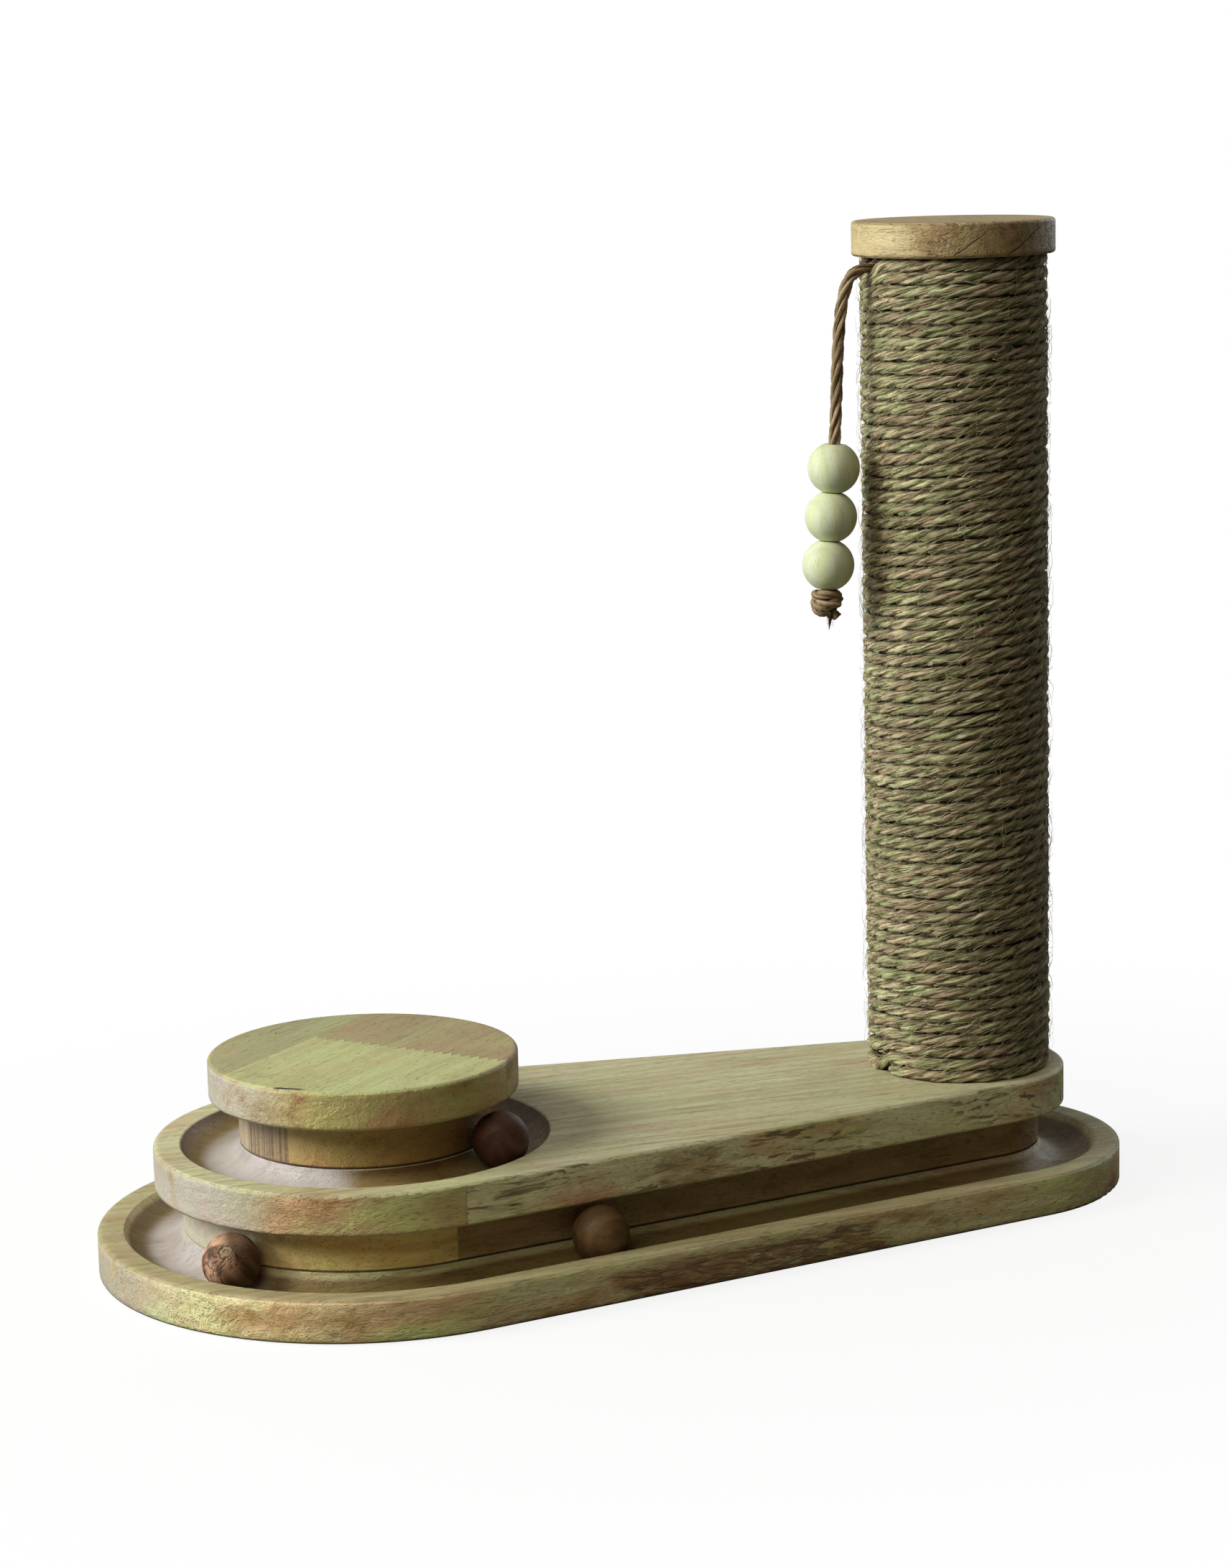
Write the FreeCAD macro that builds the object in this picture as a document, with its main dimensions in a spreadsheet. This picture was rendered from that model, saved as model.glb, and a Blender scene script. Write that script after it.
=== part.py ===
import FreeCAD, Part
import math
import os

import Sketcher

# A wooden cat scratcher: a three-level ball-track base with a rope-wrapped post and a hanging toy.
# The frame: +Z up, +X towards the post, origin under the middle of the base on the floor.

Vector = FreeCAD.Vector
UP = Vector(0, 0, 1)
TINY = 0.01

doc = FreeCAD.newDocument("cat_scratcher")
sheet = doc.addObject("Spreadsheet::Sheet", "Sizes")

SIZES = [
    ("centre_distance", 278.0, "between the centres of the wide and the narrow end of the boards"),
    ("base_wide_radius", 115.0, "outline of the base at its wide end"),
    ("base_narrow_radius", 72.0, "outline of the base at its narrow end"),
    ("base_thickness", 18.0, "base board"),
    ("rim_width", 11.3, "land left outside the base's ball track"),
    ("track_depth", 7.5, "round-bottomed ball tracks"),
    ("ball_radius", 12.0, "loose wooden balls"),
    ("ball_side_gap", 0.6, "room on each side of a ball in its track"),
    ("ball_seat_gap", 0.3, "room under a ball in its track"),
    ("left_ball_angle", -144.2, "degrees round the wide end"),
    ("ring_ball_angle", -47.9, "degrees round the disc"),
    ("front_ball_run", 63.0, "along the front straight, from its wide end"),
    ("deck_inset", 25.0, "deck outline inside the base outline"),
    ("deck_neck_height", 18.0, "recessed lower half of the deck"),
    ("deck_thickness", 18.0, "overhanging upper half of the deck"),
    ("ring_rim_width", 11.4, "land left outside the deck's ring track"),
    ("neck_corner_radius", 3.0, "cove where a neck meets its overhang"),
    ("edge_radius", 1.5, "rounded outer edges of the boards"),
    ("track_edge_radius", 0.8, "eased outer edge of the tracks"),
    ("disc_radius", 65.7, "top disc"),
    ("disc_thickness", 16.5, "overhanging upper part of the disc"),
    ("disc_neck_height", 19.5, "recessed lower part of the disc"),
    ("post_height", 360.0, "tube from the deck to the cap"),
    ("tube_radius", 35.0, "outside of the post's tube"),
    ("tube_wall", 3.0, "wall of the post's tube"),
    ("rope_thickness", 5.4, "how far the rope stands off the tube"),
    ("rope_valley_depth", 2.4, "grooves between neighbouring courses of rope"),
    ("rope_seat_gap", 0.3, "rope from tube, deck and cap"),
    ("rope_loop_gap", 0.6, "between neighbouring loops of the wound strip of rope"),
    ("cap_radius", 44.0, "post cap"),
    ("cap_thickness", 15.0, "post cap"),
    ("spigot_length", 22.0, "cap's spigot inside the tube"),
    ("wood_fit_gap", 0.2, "spigot and plug in the tube, each side"),
    ("plug_length", 32.0, "plug in the foot of the tube"),
    ("bolt_radius", 4.0, "post bolt"),
    ("bolt_reach", 16.0, "how far the post bolt goes into the plug"),
    ("bolt_head_radius", 6.5, "post bolt"),
    ("bolt_head_height", 5.3, "post bolt"),
    ("bolt_fit_gap", 0.1, "bolt in insert and washer"),
    ("bolt_clearance", 0.5, "bolt and washer in the boards"),
    ("washer_radius", 10.0, "post washer"),
    ("washer_thickness", 1.6, "post washer"),
    ("insert_radius", 6.0, "threaded insert"),
    ("insert_length", 20.0, "threaded insert"),
    ("head_recess", 1.5, "screw and bolt heads below the surface"),
    ("screw_radius", 2.0, "wood screws"),
    ("screw_head_radius", 4.0, "wood screws"),
    ("screw_head_height", 2.6, "wood screws"),
    ("screw_length", 36.0, "wood screws, under the head"),
    ("screw_tip_length", 5.0, "wood screws"),
    ("screw_gap", 0.1, "screws in their holes"),
    ("deck_screw_start", 10.0, "first pair of deck screws, from the wide centre"),
    ("deck_screw_step", 160.0, "second pair of deck screws from the first"),
    ("deck_screw_side", 26.0, "deck screws from the middle line"),
    ("disc_screw_circle", 34.0, "radius of the circle of disc screws"),
    ("disc_screw_recess", 14.0, "disc screw heads inside the deck"),
    ("cord_radius", 2.7, "hanging cord"),
    ("cord_gap", 0.3, "cord in its slot and in the beads"),
    ("cord_drop", 3.6, "cord's exit below the cap"),
    ("cord_inner_end", 26.0, "cord's inner end from the post's axis"),
    ("bead_radius", 11.3, "wooden beads"),
    ("bead_height", 20.6, "wooden beads"),
    ("bead_gap", 0.4, "between neighbouring beads"),
    ("knot_radius", 6.8, "knot under the beads"),
    ("knot_height", 11.0, "knot under the beads"),
    ("tail_length", 7.0, "loose end under the knot"),
]


class Length:
    """A size: its number, and the sheet expression that gives the same number."""

    def __init__(self, number, text):
        self.number = number
        self.text = text

    def joined(self, other, sign, result):
        return Length(result, "(%s %s %s)" % (self.text, sign, as_length(other).text))

    def __add__(self, other):
        return self.joined(other, "+", self.number + as_length(other).number)

    def __sub__(self, other):
        return self.joined(other, "-", self.number - as_length(other).number)

    def __mul__(self, other):
        return self.joined(other, "*", self.number * as_length(other).number)

    def __truediv__(self, other):
        return self.joined(other, "/", self.number / as_length(other).number)

    def __neg__(self):
        return Length(0.0, "0") - self


def as_length(thing):
    if isinstance(thing, Length):
        return thing
    return Length(float(thing), repr(float(thing)))


def cosine(angle):
    return Length(math.cos(math.radians(angle.number)), "cos(%s)" % angle.text)


def sine(angle):
    return Length(math.sin(math.radians(angle.number)), "sin(%s)" % angle.text)


def root(square):
    return Length(math.sqrt(square.number), "sqrt(%s)" % square.text)


size = {}
for row, (alias, number, note) in enumerate(SIZES, start=1):
    sheet.set("A%d" % row, alias)
    sheet.set("B%d" % row, str(number))
    sheet.set("C%d" % row, note)
    sheet.setAlias("B%d" % row, alias)
    size[alias] = Length(number, "Sizes." + alias)
doc.recompute()

# Sizes and places that several pieces share.

centre_distance = size["centre_distance"]
wide_x = (size["base_wide_radius"] - size["base_narrow_radius"] - centre_distance) / 2
narrow_x = wide_x + centre_distance
track_half_width = size["ball_radius"] + size["ball_side_gap"]
track_depth = size["track_depth"]
track_arc_radius = (track_half_width * track_half_width + track_depth * track_depth) / (track_depth * 2)
track_inset = size["rim_width"] + track_half_width
neck_inset = track_inset + track_half_width
deck_bottom = size["base_thickness"]
deck_height = size["deck_neck_height"] + size["deck_thickness"]
deck_top = deck_bottom + deck_height
deck_wide_radius = size["base_wide_radius"] - size["deck_inset"]
deck_narrow_radius = size["base_narrow_radius"] - size["deck_inset"]
neck_wide_radius = size["base_wide_radius"] - neck_inset
neck_narrow_radius = size["base_narrow_radius"] - neck_inset
track_wide_radius = size["base_wide_radius"] - track_inset
track_narrow_radius = size["base_narrow_radius"] - track_inset
ring_track_radius = deck_wide_radius - size["ring_rim_width"] - track_half_width
disc_neck_radius = ring_track_radius - track_half_width
ball_rise = size["ball_radius"] + size["ball_seat_gap"] - track_depth
cap_bottom = deck_top + size["post_height"]
tube_inside = size["tube_radius"] - size["tube_wall"]
wood_in_tube = tube_inside - size["wood_fit_gap"]
bolt_hole_radius = size["bolt_radius"] + size["bolt_clearance"]
bolt_recess = size["head_recess"] + size["bolt_head_height"] + size["washer_thickness"]
screw_hole_radius = size["screw_radius"] + size["screw_gap"]
screw_recess_radius = size["screw_head_radius"] + size["bolt_clearance"]
deck_screw_recess = size["head_recess"] + size["screw_head_height"]
cord_slot_half = size["cord_radius"] + size["cord_gap"]
cord_exit_z = cap_bottom - size["cord_drop"]

DISC_SCREWS = 3
deck_screw_places = []
for along in (size["deck_screw_start"], size["deck_screw_start"] + size["deck_screw_step"]):
    for across in (size["deck_screw_side"], -size["deck_screw_side"]):
        deck_screw_places.append((along, across))
disc_screw_places = []
for turn in range(DISC_SCREWS):
    bearing = as_length(turn * 360.0 / DISC_SCREWS)
    circle = size["disc_screw_circle"]
    disc_screw_places.append((circle * cosine(bearing), circle * sine(bearing)))


# Helpers for bodies, sketches and features.

def bind(thing, prop, length):
    thing.setExpression(prop, as_length(length).text)


def place(thing, x=0, y=0, z=0):
    for axis, length in zip("xyz", (x, y, z)):
        bind(thing, "Placement.Base." + axis, length)


def new_body(name):
    body = doc.addObject("PartDesign::Body", name)
    body.Label = name
    return body


def new_sketch(body, name, plane, level=0):
    sketch = body.newObject("Sketcher::SketchObject", name)
    for feature in body.Origin.OriginFeatures:
        if feature.Role == plane:
            sketch.AttachmentSupport = (feature, [""])
    sketch.MapMode = "FlatFace"
    bind(sketch, "AttachmentOffset.Base.z", level)
    return sketch


def constrain(sketch, length, kind, *where):
    """Adds a sized constraint and binds it to the sheet."""
    length = as_length(length)
    index = sketch.addConstraint(Sketcher.Constraint(kind, *where, length.number))
    name = "size_%d" % index
    sketch.renameConstraint(index, name)
    bind(sketch, "Constraints." + name, length)


def add_outline(sketch, wide, narrow):
    """Two end circles of different size, joined by their common tangents."""
    far = centre_distance.number
    lean = math.asin((wide.number - narrow.number) / far)
    upper = math.pi / 2 - lean
    wide_circle = Part.Circle(Vector(0, 0, 0), UP, wide.number)
    narrow_circle = Part.Circle(Vector(far, 0, 0), UP, narrow.number)
    wide_arc = sketch.addGeometry(Part.ArcOfCircle(wide_circle, upper, 2 * math.pi - upper))
    narrow_arc = sketch.addGeometry(Part.ArcOfCircle(narrow_circle, -upper, upper))
    sides = []
    for angle in (-upper, upper):
        start = wide_circle.value(angle)
        end = narrow_circle.value(angle)
        sides.append(sketch.addGeometry(Part.LineSegment(start, end)))
    front, back = sides
    sketch.addConstraint(Sketcher.Constraint("Tangent", wide_arc, 2, front, 1))
    sketch.addConstraint(Sketcher.Constraint("Tangent", front, 2, narrow_arc, 1))
    sketch.addConstraint(Sketcher.Constraint("Tangent", narrow_arc, 2, back, 2))
    sketch.addConstraint(Sketcher.Constraint("Tangent", back, 1, wide_arc, 1))
    sketch.addConstraint(Sketcher.Constraint("Coincident", wide_arc, 3, -1, 1))
    sketch.addConstraint(Sketcher.Constraint("PointOnObject", narrow_arc, 3, -1))
    constrain(sketch, centre_distance, "DistanceX", -1, 1, narrow_arc, 3)
    constrain(sketch, wide, "Radius", wide_arc)
    constrain(sketch, narrow, "Radius", narrow_arc)


def add_circle(sketch, x, y, radius):
    x, y, radius = as_length(x), as_length(y), as_length(radius)
    circle = Part.Circle(Vector(x.number, y.number, 0), UP, radius.number)
    index = sketch.addGeometry(circle)
    constrain(sketch, radius, "Radius", index)
    pin_point(sketch, index, 3, x, y)


def pin_point(sketch, index, corner, x, y):
    if abs(x.number) < TINY and abs(y.number) < TINY:
        sketch.addConstraint(Sketcher.Constraint("Coincident", index, corner, -1, 1))
        return
    for kind, length, axis in (("DistanceX", x, -2), ("DistanceY", y, -1)):
        if abs(length.number) < TINY:
            sketch.addConstraint(Sketcher.Constraint("PointOnObject", index, corner, axis))
        else:
            constrain(sketch, length, kind, -1, 1, index, corner)


def add_polygon(sketch, corners):
    """A closed line through corners given as (x, y) lengths."""
    corners = [(as_length(x), as_length(y)) for x, y in corners]
    points = [Vector(x.number, y.number, 0) for x, y in corners]
    lines = []
    for point, following in zip(points, points[1:] + points[:1]):
        lines.append(sketch.addGeometry(Part.LineSegment(point, following)))
    for line, following in zip(lines, lines[1:] + lines[:1]):
        sketch.addConstraint(Sketcher.Constraint("Coincident", line, 2, following, 1))
    for line, (x, y) in zip(lines, corners):
        pin_point(sketch, line, 1, x, y)


def pad(body, sketch, length):
    feature = body.newObject("PartDesign::Pad", sketch.Name + "_pad")
    feature.Profile = sketch
    bind(feature, "Length", length)
    doc.recompute()
    return feature


def pocket(body, sketch, depth, downward=False):
    """Cuts the sketch into the body: along the plane's normal, or against it if downward."""
    before = body.Shape.Volume
    feature = body.newObject("PartDesign::Pocket", sketch.Name + "_pocket")
    feature.Profile = sketch
    feature.Reversed = not downward
    bind(feature, "Length", depth)
    doc.recompute()
    if body.Shape.Volume > before - TINY:
        raise RuntimeError("nothing cut by " + feature.Name)
    return feature


def revolve(body, sketch):
    feature = body.newObject("PartDesign::Revolution", sketch.Name + "_turned")
    feature.Profile = sketch
    feature.ReferenceAxis = (sketch, ["V_Axis"])
    feature.Angle = 360
    doc.recompute()
    return feature


def turned_body(name, corners):
    """A body turned about its own Z axis from a half section of (radius, height) corners."""
    body = new_body(name)
    sketch = new_sketch(body, name + "_section", "XZ_Plane")
    add_polygon(sketch, corners)
    revolve(body, sketch)
    return body


def fillet(body, radius, wanted):
    """Rounds the edges of the body for which wanted(point) holds at both ends and in the middle."""
    base = body.Tip
    names = []
    for index, edge in enumerate(base.Shape.Edges, start=1):
        middle = edge.valueAt((edge.FirstParameter + edge.LastParameter) / 2)
        points = [vertex.Point for vertex in edge.Vertexes] + [middle]
        if all(wanted(point) for point in points):
            names.append("Edge%d" % index)
    if not names:
        raise RuntimeError("no edges to round on " + body.Name)
    feature = body.newObject("PartDesign::Fillet", body.Name + "_rounding")
    feature.Base = (base, names)
    bind(feature, "Radius", radius)
    doc.recompute()


def outline_distance(point, wide, narrow):
    """Distance of a point from the tapered outline, negative inside."""
    far = centre_distance.number
    lean = (wide.number - narrow.number) / far
    slope = math.sqrt(1 - lean * lean)
    side = abs(point.y)
    along = slope * point.x - lean * side
    if along < 0:
        return math.hypot(point.x, side) - wide.number
    if along > slope * far:
        return math.hypot(point.x - far, side) - narrow.number
    return slope * side + lean * point.x - wide.number


def on_outline(wide, narrow, *levels):
    def wanted(point):
        near = abs(outline_distance(point, wide, narrow)) < TINY
        return near and any(abs(point.z - as_length(level).number) < TINY for level in levels)
    return wanted


def on_circle(radius, *levels):
    def wanted(point):
        near = abs(math.hypot(point.x, point.y) - radius.number) < TINY
        return near and any(abs(point.z - as_length(level).number) < TINY for level in levels)
    return wanted


# The base board: tapered outline with a round-bottomed ball track all the way round.

def make_base_board():
    body = new_body("base_board")
    outline = new_sketch(body, "base_outline", "XY_Plane")
    add_outline(outline, size["base_wide_radius"], size["base_narrow_radius"])
    pad(body, outline, size["base_thickness"])
    route = new_sketch(body, "track_route", "XY_Plane", size["base_thickness"])
    add_outline(route, track_wide_radius, track_narrow_radius)
    cutter = new_sketch(body, "track_cutter", "XZ_Plane")
    cutter_height = size["base_thickness"] - track_depth + track_arc_radius
    add_circle(cutter, centre_distance + track_narrow_radius, cutter_height, track_arc_radius)
    doc.recompute()
    track = body.newObject("PartDesign::SubtractivePipe", "ball_track")
    track.Profile = cutter
    track.Spine = (route, ["Edge%d" % edge for edge in range(1, len(route.Geometry) + 1)])
    doc.recompute()
    heads = new_sketch(body, "deck_screw_heads", "XY_Plane")
    shanks = new_sketch(body, "deck_screw_shanks", "XY_Plane")
    for x, y in deck_screw_places:
        add_circle(heads, x, y, screw_recess_radius)
        add_circle(shanks, x, y, screw_hole_radius)
    pocket(body, heads, deck_screw_recess)
    pocket(body, shanks, size["base_thickness"])
    bolt_head = new_sketch(body, "bolt_head_recess", "XY_Plane")
    add_circle(bolt_head, centre_distance, 0, size["washer_radius"] + size["bolt_clearance"])
    pocket(body, bolt_head, bolt_recess)
    bolt_hole = new_sketch(body, "base_bolt_hole", "XY_Plane")
    add_circle(bolt_hole, centre_distance, 0, bolt_hole_radius)
    pocket(body, bolt_hole, size["base_thickness"])
    wide, narrow = size["base_wide_radius"], size["base_narrow_radius"]
    fillet(body, size["edge_radius"], on_outline(wide, narrow, 0, size["base_thickness"]))
    rim = size["rim_width"]
    fillet(body, size["track_edge_radius"], on_outline(wide - rim, narrow - rim, size["base_thickness"]))
    place(body, wide_x)
    return body


# The deck: one thick board with an overhang, a recessed neck and a ring track at its wide end.

def make_deck_board():
    body = new_body("deck_board")
    neck = new_sketch(body, "deck_neck", "XY_Plane")
    add_outline(neck, neck_wide_radius, neck_narrow_radius)
    pad(body, neck, size["deck_neck_height"])
    overhang = new_sketch(body, "deck_overhang", "XY_Plane", size["deck_neck_height"])
    add_outline(overhang, deck_wide_radius, deck_narrow_radius)
    pad(body, overhang, size["deck_thickness"])
    cutter = new_sketch(body, "ring_cutter", "XZ_Plane")
    add_circle(cutter, ring_track_radius, deck_height - track_depth + track_arc_radius, track_arc_radius)
    ring = body.newObject("PartDesign::Groove", "ring_track")
    ring.Profile = cutter
    ring.ReferenceAxis = (cutter, ["V_Axis"])
    ring.Angle = 360
    doc.recompute()
    pilots = new_sketch(body, "deck_screw_pilots", "XY_Plane")
    for x, y in deck_screw_places:
        add_circle(pilots, x, y, screw_hole_radius)
    pocket(body, pilots, size["screw_length"] + deck_screw_recess - size["base_thickness"] + size["screw_gap"])
    heads = new_sketch(body, "disc_screw_heads", "XY_Plane")
    shanks = new_sketch(body, "disc_screw_shanks", "XY_Plane")
    for x, y in disc_screw_places:
        add_circle(heads, x, y, screw_recess_radius)
        add_circle(shanks, x, y, screw_hole_radius)
    pocket(body, heads, size["disc_screw_recess"])
    pocket(body, shanks, deck_height)
    bolt_hole = new_sketch(body, "deck_bolt_hole", "XY_Plane")
    add_circle(bolt_hole, centre_distance, 0, bolt_hole_radius)
    pocket(body, bolt_hole, deck_height)
    fillet(body, size["neck_corner_radius"],
           on_outline(neck_wide_radius, neck_narrow_radius, size["deck_neck_height"]))
    fillet(body, size["edge_radius"],
           on_outline(deck_wide_radius, deck_narrow_radius, size["deck_neck_height"], deck_height))
    fillet(body, size["track_edge_radius"], on_circle(ring_track_radius + track_half_width, deck_height))
    place(body, wide_x, 0, deck_bottom)
    return body


# The top disc: a turned mushroom whose neck stands on the island of the ring track.

def make_top_disc():
    neck_height = size["disc_neck_height"]
    total = neck_height + size["disc_thickness"]
    radius = size["disc_radius"]
    body = turned_body("top_disc", [
        (0, 0),
        (disc_neck_radius, 0),
        (disc_neck_radius, neck_height),
        (radius, neck_height),
        (radius, total),
        (0, total),
    ])
    pilots = new_sketch(body, "disc_screw_pilots", "XY_Plane")
    for x, y in disc_screw_places:
        add_circle(pilots, x, y, screw_hole_radius)
    reach = size["disc_screw_recess"] + size["screw_length"] - deck_height + size["screw_gap"]
    pocket(body, pilots, reach)
    fillet(body, size["neck_corner_radius"], on_circle(disc_neck_radius, neck_height))
    fillet(body, size["edge_radius"], on_circle(radius, neck_height, total))
    place(body, wide_x, 0, deck_top)
    return body


# Wood screws: a group of separate solids, each a pan head, a shank and a point.

def make_screws(label, places, head_bottom):
    screws = []
    for count, (x, y) in enumerate(places, start=1):
        pieces = []
        head_top = head_bottom + size["screw_head_height"]
        shank_length = size["screw_length"] - size["screw_tip_length"]
        head = doc.addObject("Part::Cylinder", "%s_head_%d" % (label, count))
        bind(head, "Radius", size["screw_head_radius"])
        bind(head, "Height", size["screw_head_height"])
        shank = doc.addObject("Part::Cylinder", "%s_shank_%d" % (label, count))
        bind(shank, "Radius", size["screw_radius"])
        bind(shank, "Height", shank_length)
        tip = doc.addObject("Part::Cone", "%s_tip_%d" % (label, count))
        bind(tip, "Radius1", size["screw_radius"])
        bind(tip, "Radius2", size["screw_gap"])
        bind(tip, "Height", size["screw_tip_length"])
        for piece, level in ((head, head_bottom), (shank, head_top), (tip, head_top + shank_length)):
            place(piece, wide_x + x, y, level)
            pieces.append(piece)
        screw = doc.addObject("Part::MultiFuse", "%s_%d" % (label, count))
        screw.Shapes = pieces
        screws.append(screw)
    group = doc.addObject("Part::Compound", label)
    group.Label = label
    group.Links = screws
    doc.recompute()
    return group


# The post: tube, plug with threaded insert, bolt and washer from below, and the cap.

def make_post_core():
    body = new_body("post_core")
    section = new_sketch(body, "tube_section", "XY_Plane")
    add_circle(section, 0, 0, size["tube_radius"])
    add_circle(section, 0, 0, tube_inside)
    pad(body, section, size["post_height"])
    notch = new_sketch(body, "cord_notch", "YZ_Plane")
    notch_bottom = size["post_height"] - size["cord_drop"] - cord_slot_half
    add_polygon(notch, [
        (-cord_slot_half, notch_bottom),
        (cord_slot_half, notch_bottom),
        (cord_slot_half, size["post_height"]),
        (-cord_slot_half, size["post_height"]),
    ])
    pocket(body, notch, size["tube_radius"], downward=True)
    place(body, narrow_x, 0, deck_top)
    return body


def make_post_plug():
    bore = size["insert_radius"]
    bolt = bolt_hole_radius
    body = turned_body("post_plug", [
        (bore, 0),
        (wood_in_tube, 0),
        (wood_in_tube, size["plug_length"]),
        (bolt, size["plug_length"]),
        (bolt, size["insert_length"]),
        (bore, size["insert_length"]),
    ])
    place(body, narrow_x, 0, deck_top)
    return body


def make_ring(name, inside, outside, height, level):
    body = turned_body(name, [(inside, 0), (outside, 0), (outside, height), (inside, height)])
    place(body, narrow_x, 0, level)
    return body


def make_post_bolt():
    head = size["bolt_head_height"]
    head_level = size["head_recess"]
    top = deck_top + size["bolt_reach"] - head_level
    body = turned_body("post_bolt", [
        (0, 0),
        (size["bolt_head_radius"], 0),
        (size["bolt_head_radius"], head),
        (size["bolt_radius"], head),
        (size["bolt_radius"], top),
        (0, top),
    ])
    place(body, narrow_x, 0, head_level)
    return body


def make_post_cap():
    spigot = size["spigot_length"]
    total = spigot + size["cap_thickness"]
    radius = size["cap_radius"]
    body = turned_body("post_cap", [
        (0, 0),
        (wood_in_tube, 0),
        (wood_in_tube, spigot),
        (radius, spigot),
        (radius, total),
        (0, total),
    ])
    inner = size["cord_inner_end"] - size["cord_gap"]
    slot = new_sketch(body, "cord_slot", "YZ_Plane", -inner)
    slot_bottom = spigot - size["cord_drop"] - cord_slot_half
    add_polygon(slot, [
        (-cord_slot_half, slot_bottom),
        (cord_slot_half, slot_bottom),
        (cord_slot_half, spigot),
        (-cord_slot_half, spigot),
    ])
    pocket(body, slot, size["tube_radius"] - inner, downward=True)
    fillet(body, size["edge_radius"], on_circle(radius, spigot, total))
    place(body, narrow_x, 0, cap_bottom - spigot)
    return body


# The rope: one unbroken strip of three courses, wound up the tube from the deck to the cap.

ROPE_LOOPS = 22
COURSES_PER_LOOP = 3
# Each loop lies flat and climbs to the next one on the back of the post, clockwise from above.
ROPE_CLIMB = math.radians(90)
ROPE_TURN = 98.0
GAP_POINTS = 3000
GAP_WINDOW = 12


def rope_point(radius, angle, level, slope=0.0):
    """Point on the winding, and its direction there."""
    point = Vector(radius * math.cos(angle), -radius * math.sin(angle), level)
    direction = Vector(-math.sin(angle), -math.cos(angle), slope)
    return point, direction.normalize()


def tangent_arc(start, direction, end):
    """The arc that leaves start in the given direction and reaches end."""
    chord = end - start
    along = Vector(chord).normalize()
    bulge = direction - along * direction.dot(along)
    half_angle = math.acos(max(-1.0, min(1.0, direction.dot(along))))
    middle = start + chord * 0.5 + bulge.normalize() * (chord.Length / 2 * math.tan(half_angle / 2))
    return Part.Arc(start, middle, end).toShape()


def biarc(start, start_direction, end, end_direction):
    """Two arcs that meet smoothly between two points with given directions."""
    span = end - start
    both = start_direction + end_direction
    turn = 2 * (1 - start_direction.dot(end_direction))
    lead = span.dot(both)
    reach = (math.sqrt(lead * lead + turn * span.dot(span)) - lead) / turn
    meeting = (start + start_direction * reach + end - end_direction * reach) * 0.5
    first = tangent_arc(start, start_direction, meeting)
    halfway_direction = (end - start - (start_direction + end_direction) * reach).normalize()
    second = tangent_arc(meeting, halfway_direction, end)
    return [first, second]


def rope_loop(radius, level, pitch, climbs):
    """One flat loop, and the climb to the next loop if there is one."""
    flat = 2 * math.pi - ROPE_CLIMB
    edges = []
    for part in range(2):
        angles = [flat * (part + share) / 2 for share in (0, 0.5, 1)]
        edges.append(Part.Arc(*[rope_point(radius, angle, level)[0] for angle in angles]).toShape())
    if climbs:
        steepest = 2 * pitch / (radius * ROPE_CLIMB)
        start = rope_point(radius, flat, level)
        halfway = rope_point(radius, flat + ROPE_CLIMB / 2, level + pitch / 2, steepest)
        end = rope_point(radius, 2 * math.pi, level + pitch)
        edges += biarc(*start, *halfway) + biarc(*halfway, *end)
    return edges


def make_rope_wrap():
    seat = size["rope_seat_gap"].number
    height = size["post_height"].number - 2 * seat
    loop_gap = size["rope_loop_gap"].number
    pitch = (height + loop_gap) / ROPE_LOOPS
    strip = pitch - loop_gap
    course = strip / COURSES_PER_LOOP
    inside = size["tube_radius"].number + seat
    outside = size["tube_radius"].number + size["rope_thickness"].number
    valley = outside - size["rope_valley_depth"].number
    middle = (inside + outside) / 2

    section = [(inside, 0)]
    for count in range(COURSES_PER_LOOP):
        section.append((outside, (count + 0.5) * course))
        section.append((valley, (count + 1) * course))
    section[-1] = (inside, strip)

    edges = []
    for loop in range(ROPE_LOOPS):
        edges += rope_loop(middle, strip / 2 + loop * pitch, pitch, loop < ROPE_LOOPS - 1)
    sweep = Part.BRepOffsetAPI.MakePipeShell(Part.Wire(edges))
    sweep.setBiNormalMode(UP)
    corners = [Vector(radius, 0, level) for radius, level in section]
    sweep.add(Part.makePolygon(corners + corners[:1]))
    sweep.build()
    sweep.makeSolid()

    lower_edge = Part.Wire(rope_loop(middle, strip, pitch, True)).discretize(GAP_POINTS)
    upper_edge = Part.Wire(rope_loop(middle, pitch, pitch, True)).discretize(GAP_POINTS)
    gap = pitch
    for index, lower in enumerate(lower_edge):
        nearby = upper_edge[max(0, index - GAP_WINDOW):index + GAP_WINDOW]
        gap = min([gap] + [(upper - lower).Length for upper in nearby])
    spread = [math.hypot(point.x, point.y) - middle for point in lower_edge]
    print("rope_wrap: %d loops, %d courses, least gap to itself %.2f mm, radius off by %.2f to %.2f mm"
          % (ROPE_LOOPS, COURSES_PER_LOOP * ROPE_LOOPS, gap, min(spread), max(spread)))

    rope = doc.addObject("Part::Feature", "rope_wrap")
    rope.Label = "rope_wrap"
    rope.Shape = sweep.shape()
    foot = Vector(narrow_x.number, 0, deck_top.number + seat)
    rope.Placement = FreeCAD.Placement(foot, FreeCAD.Rotation(UP, ROPE_TURN))
    return rope


# The hanging toy: cord, three beads and a knot, in the upright plane through the post towards the disc.

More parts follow.
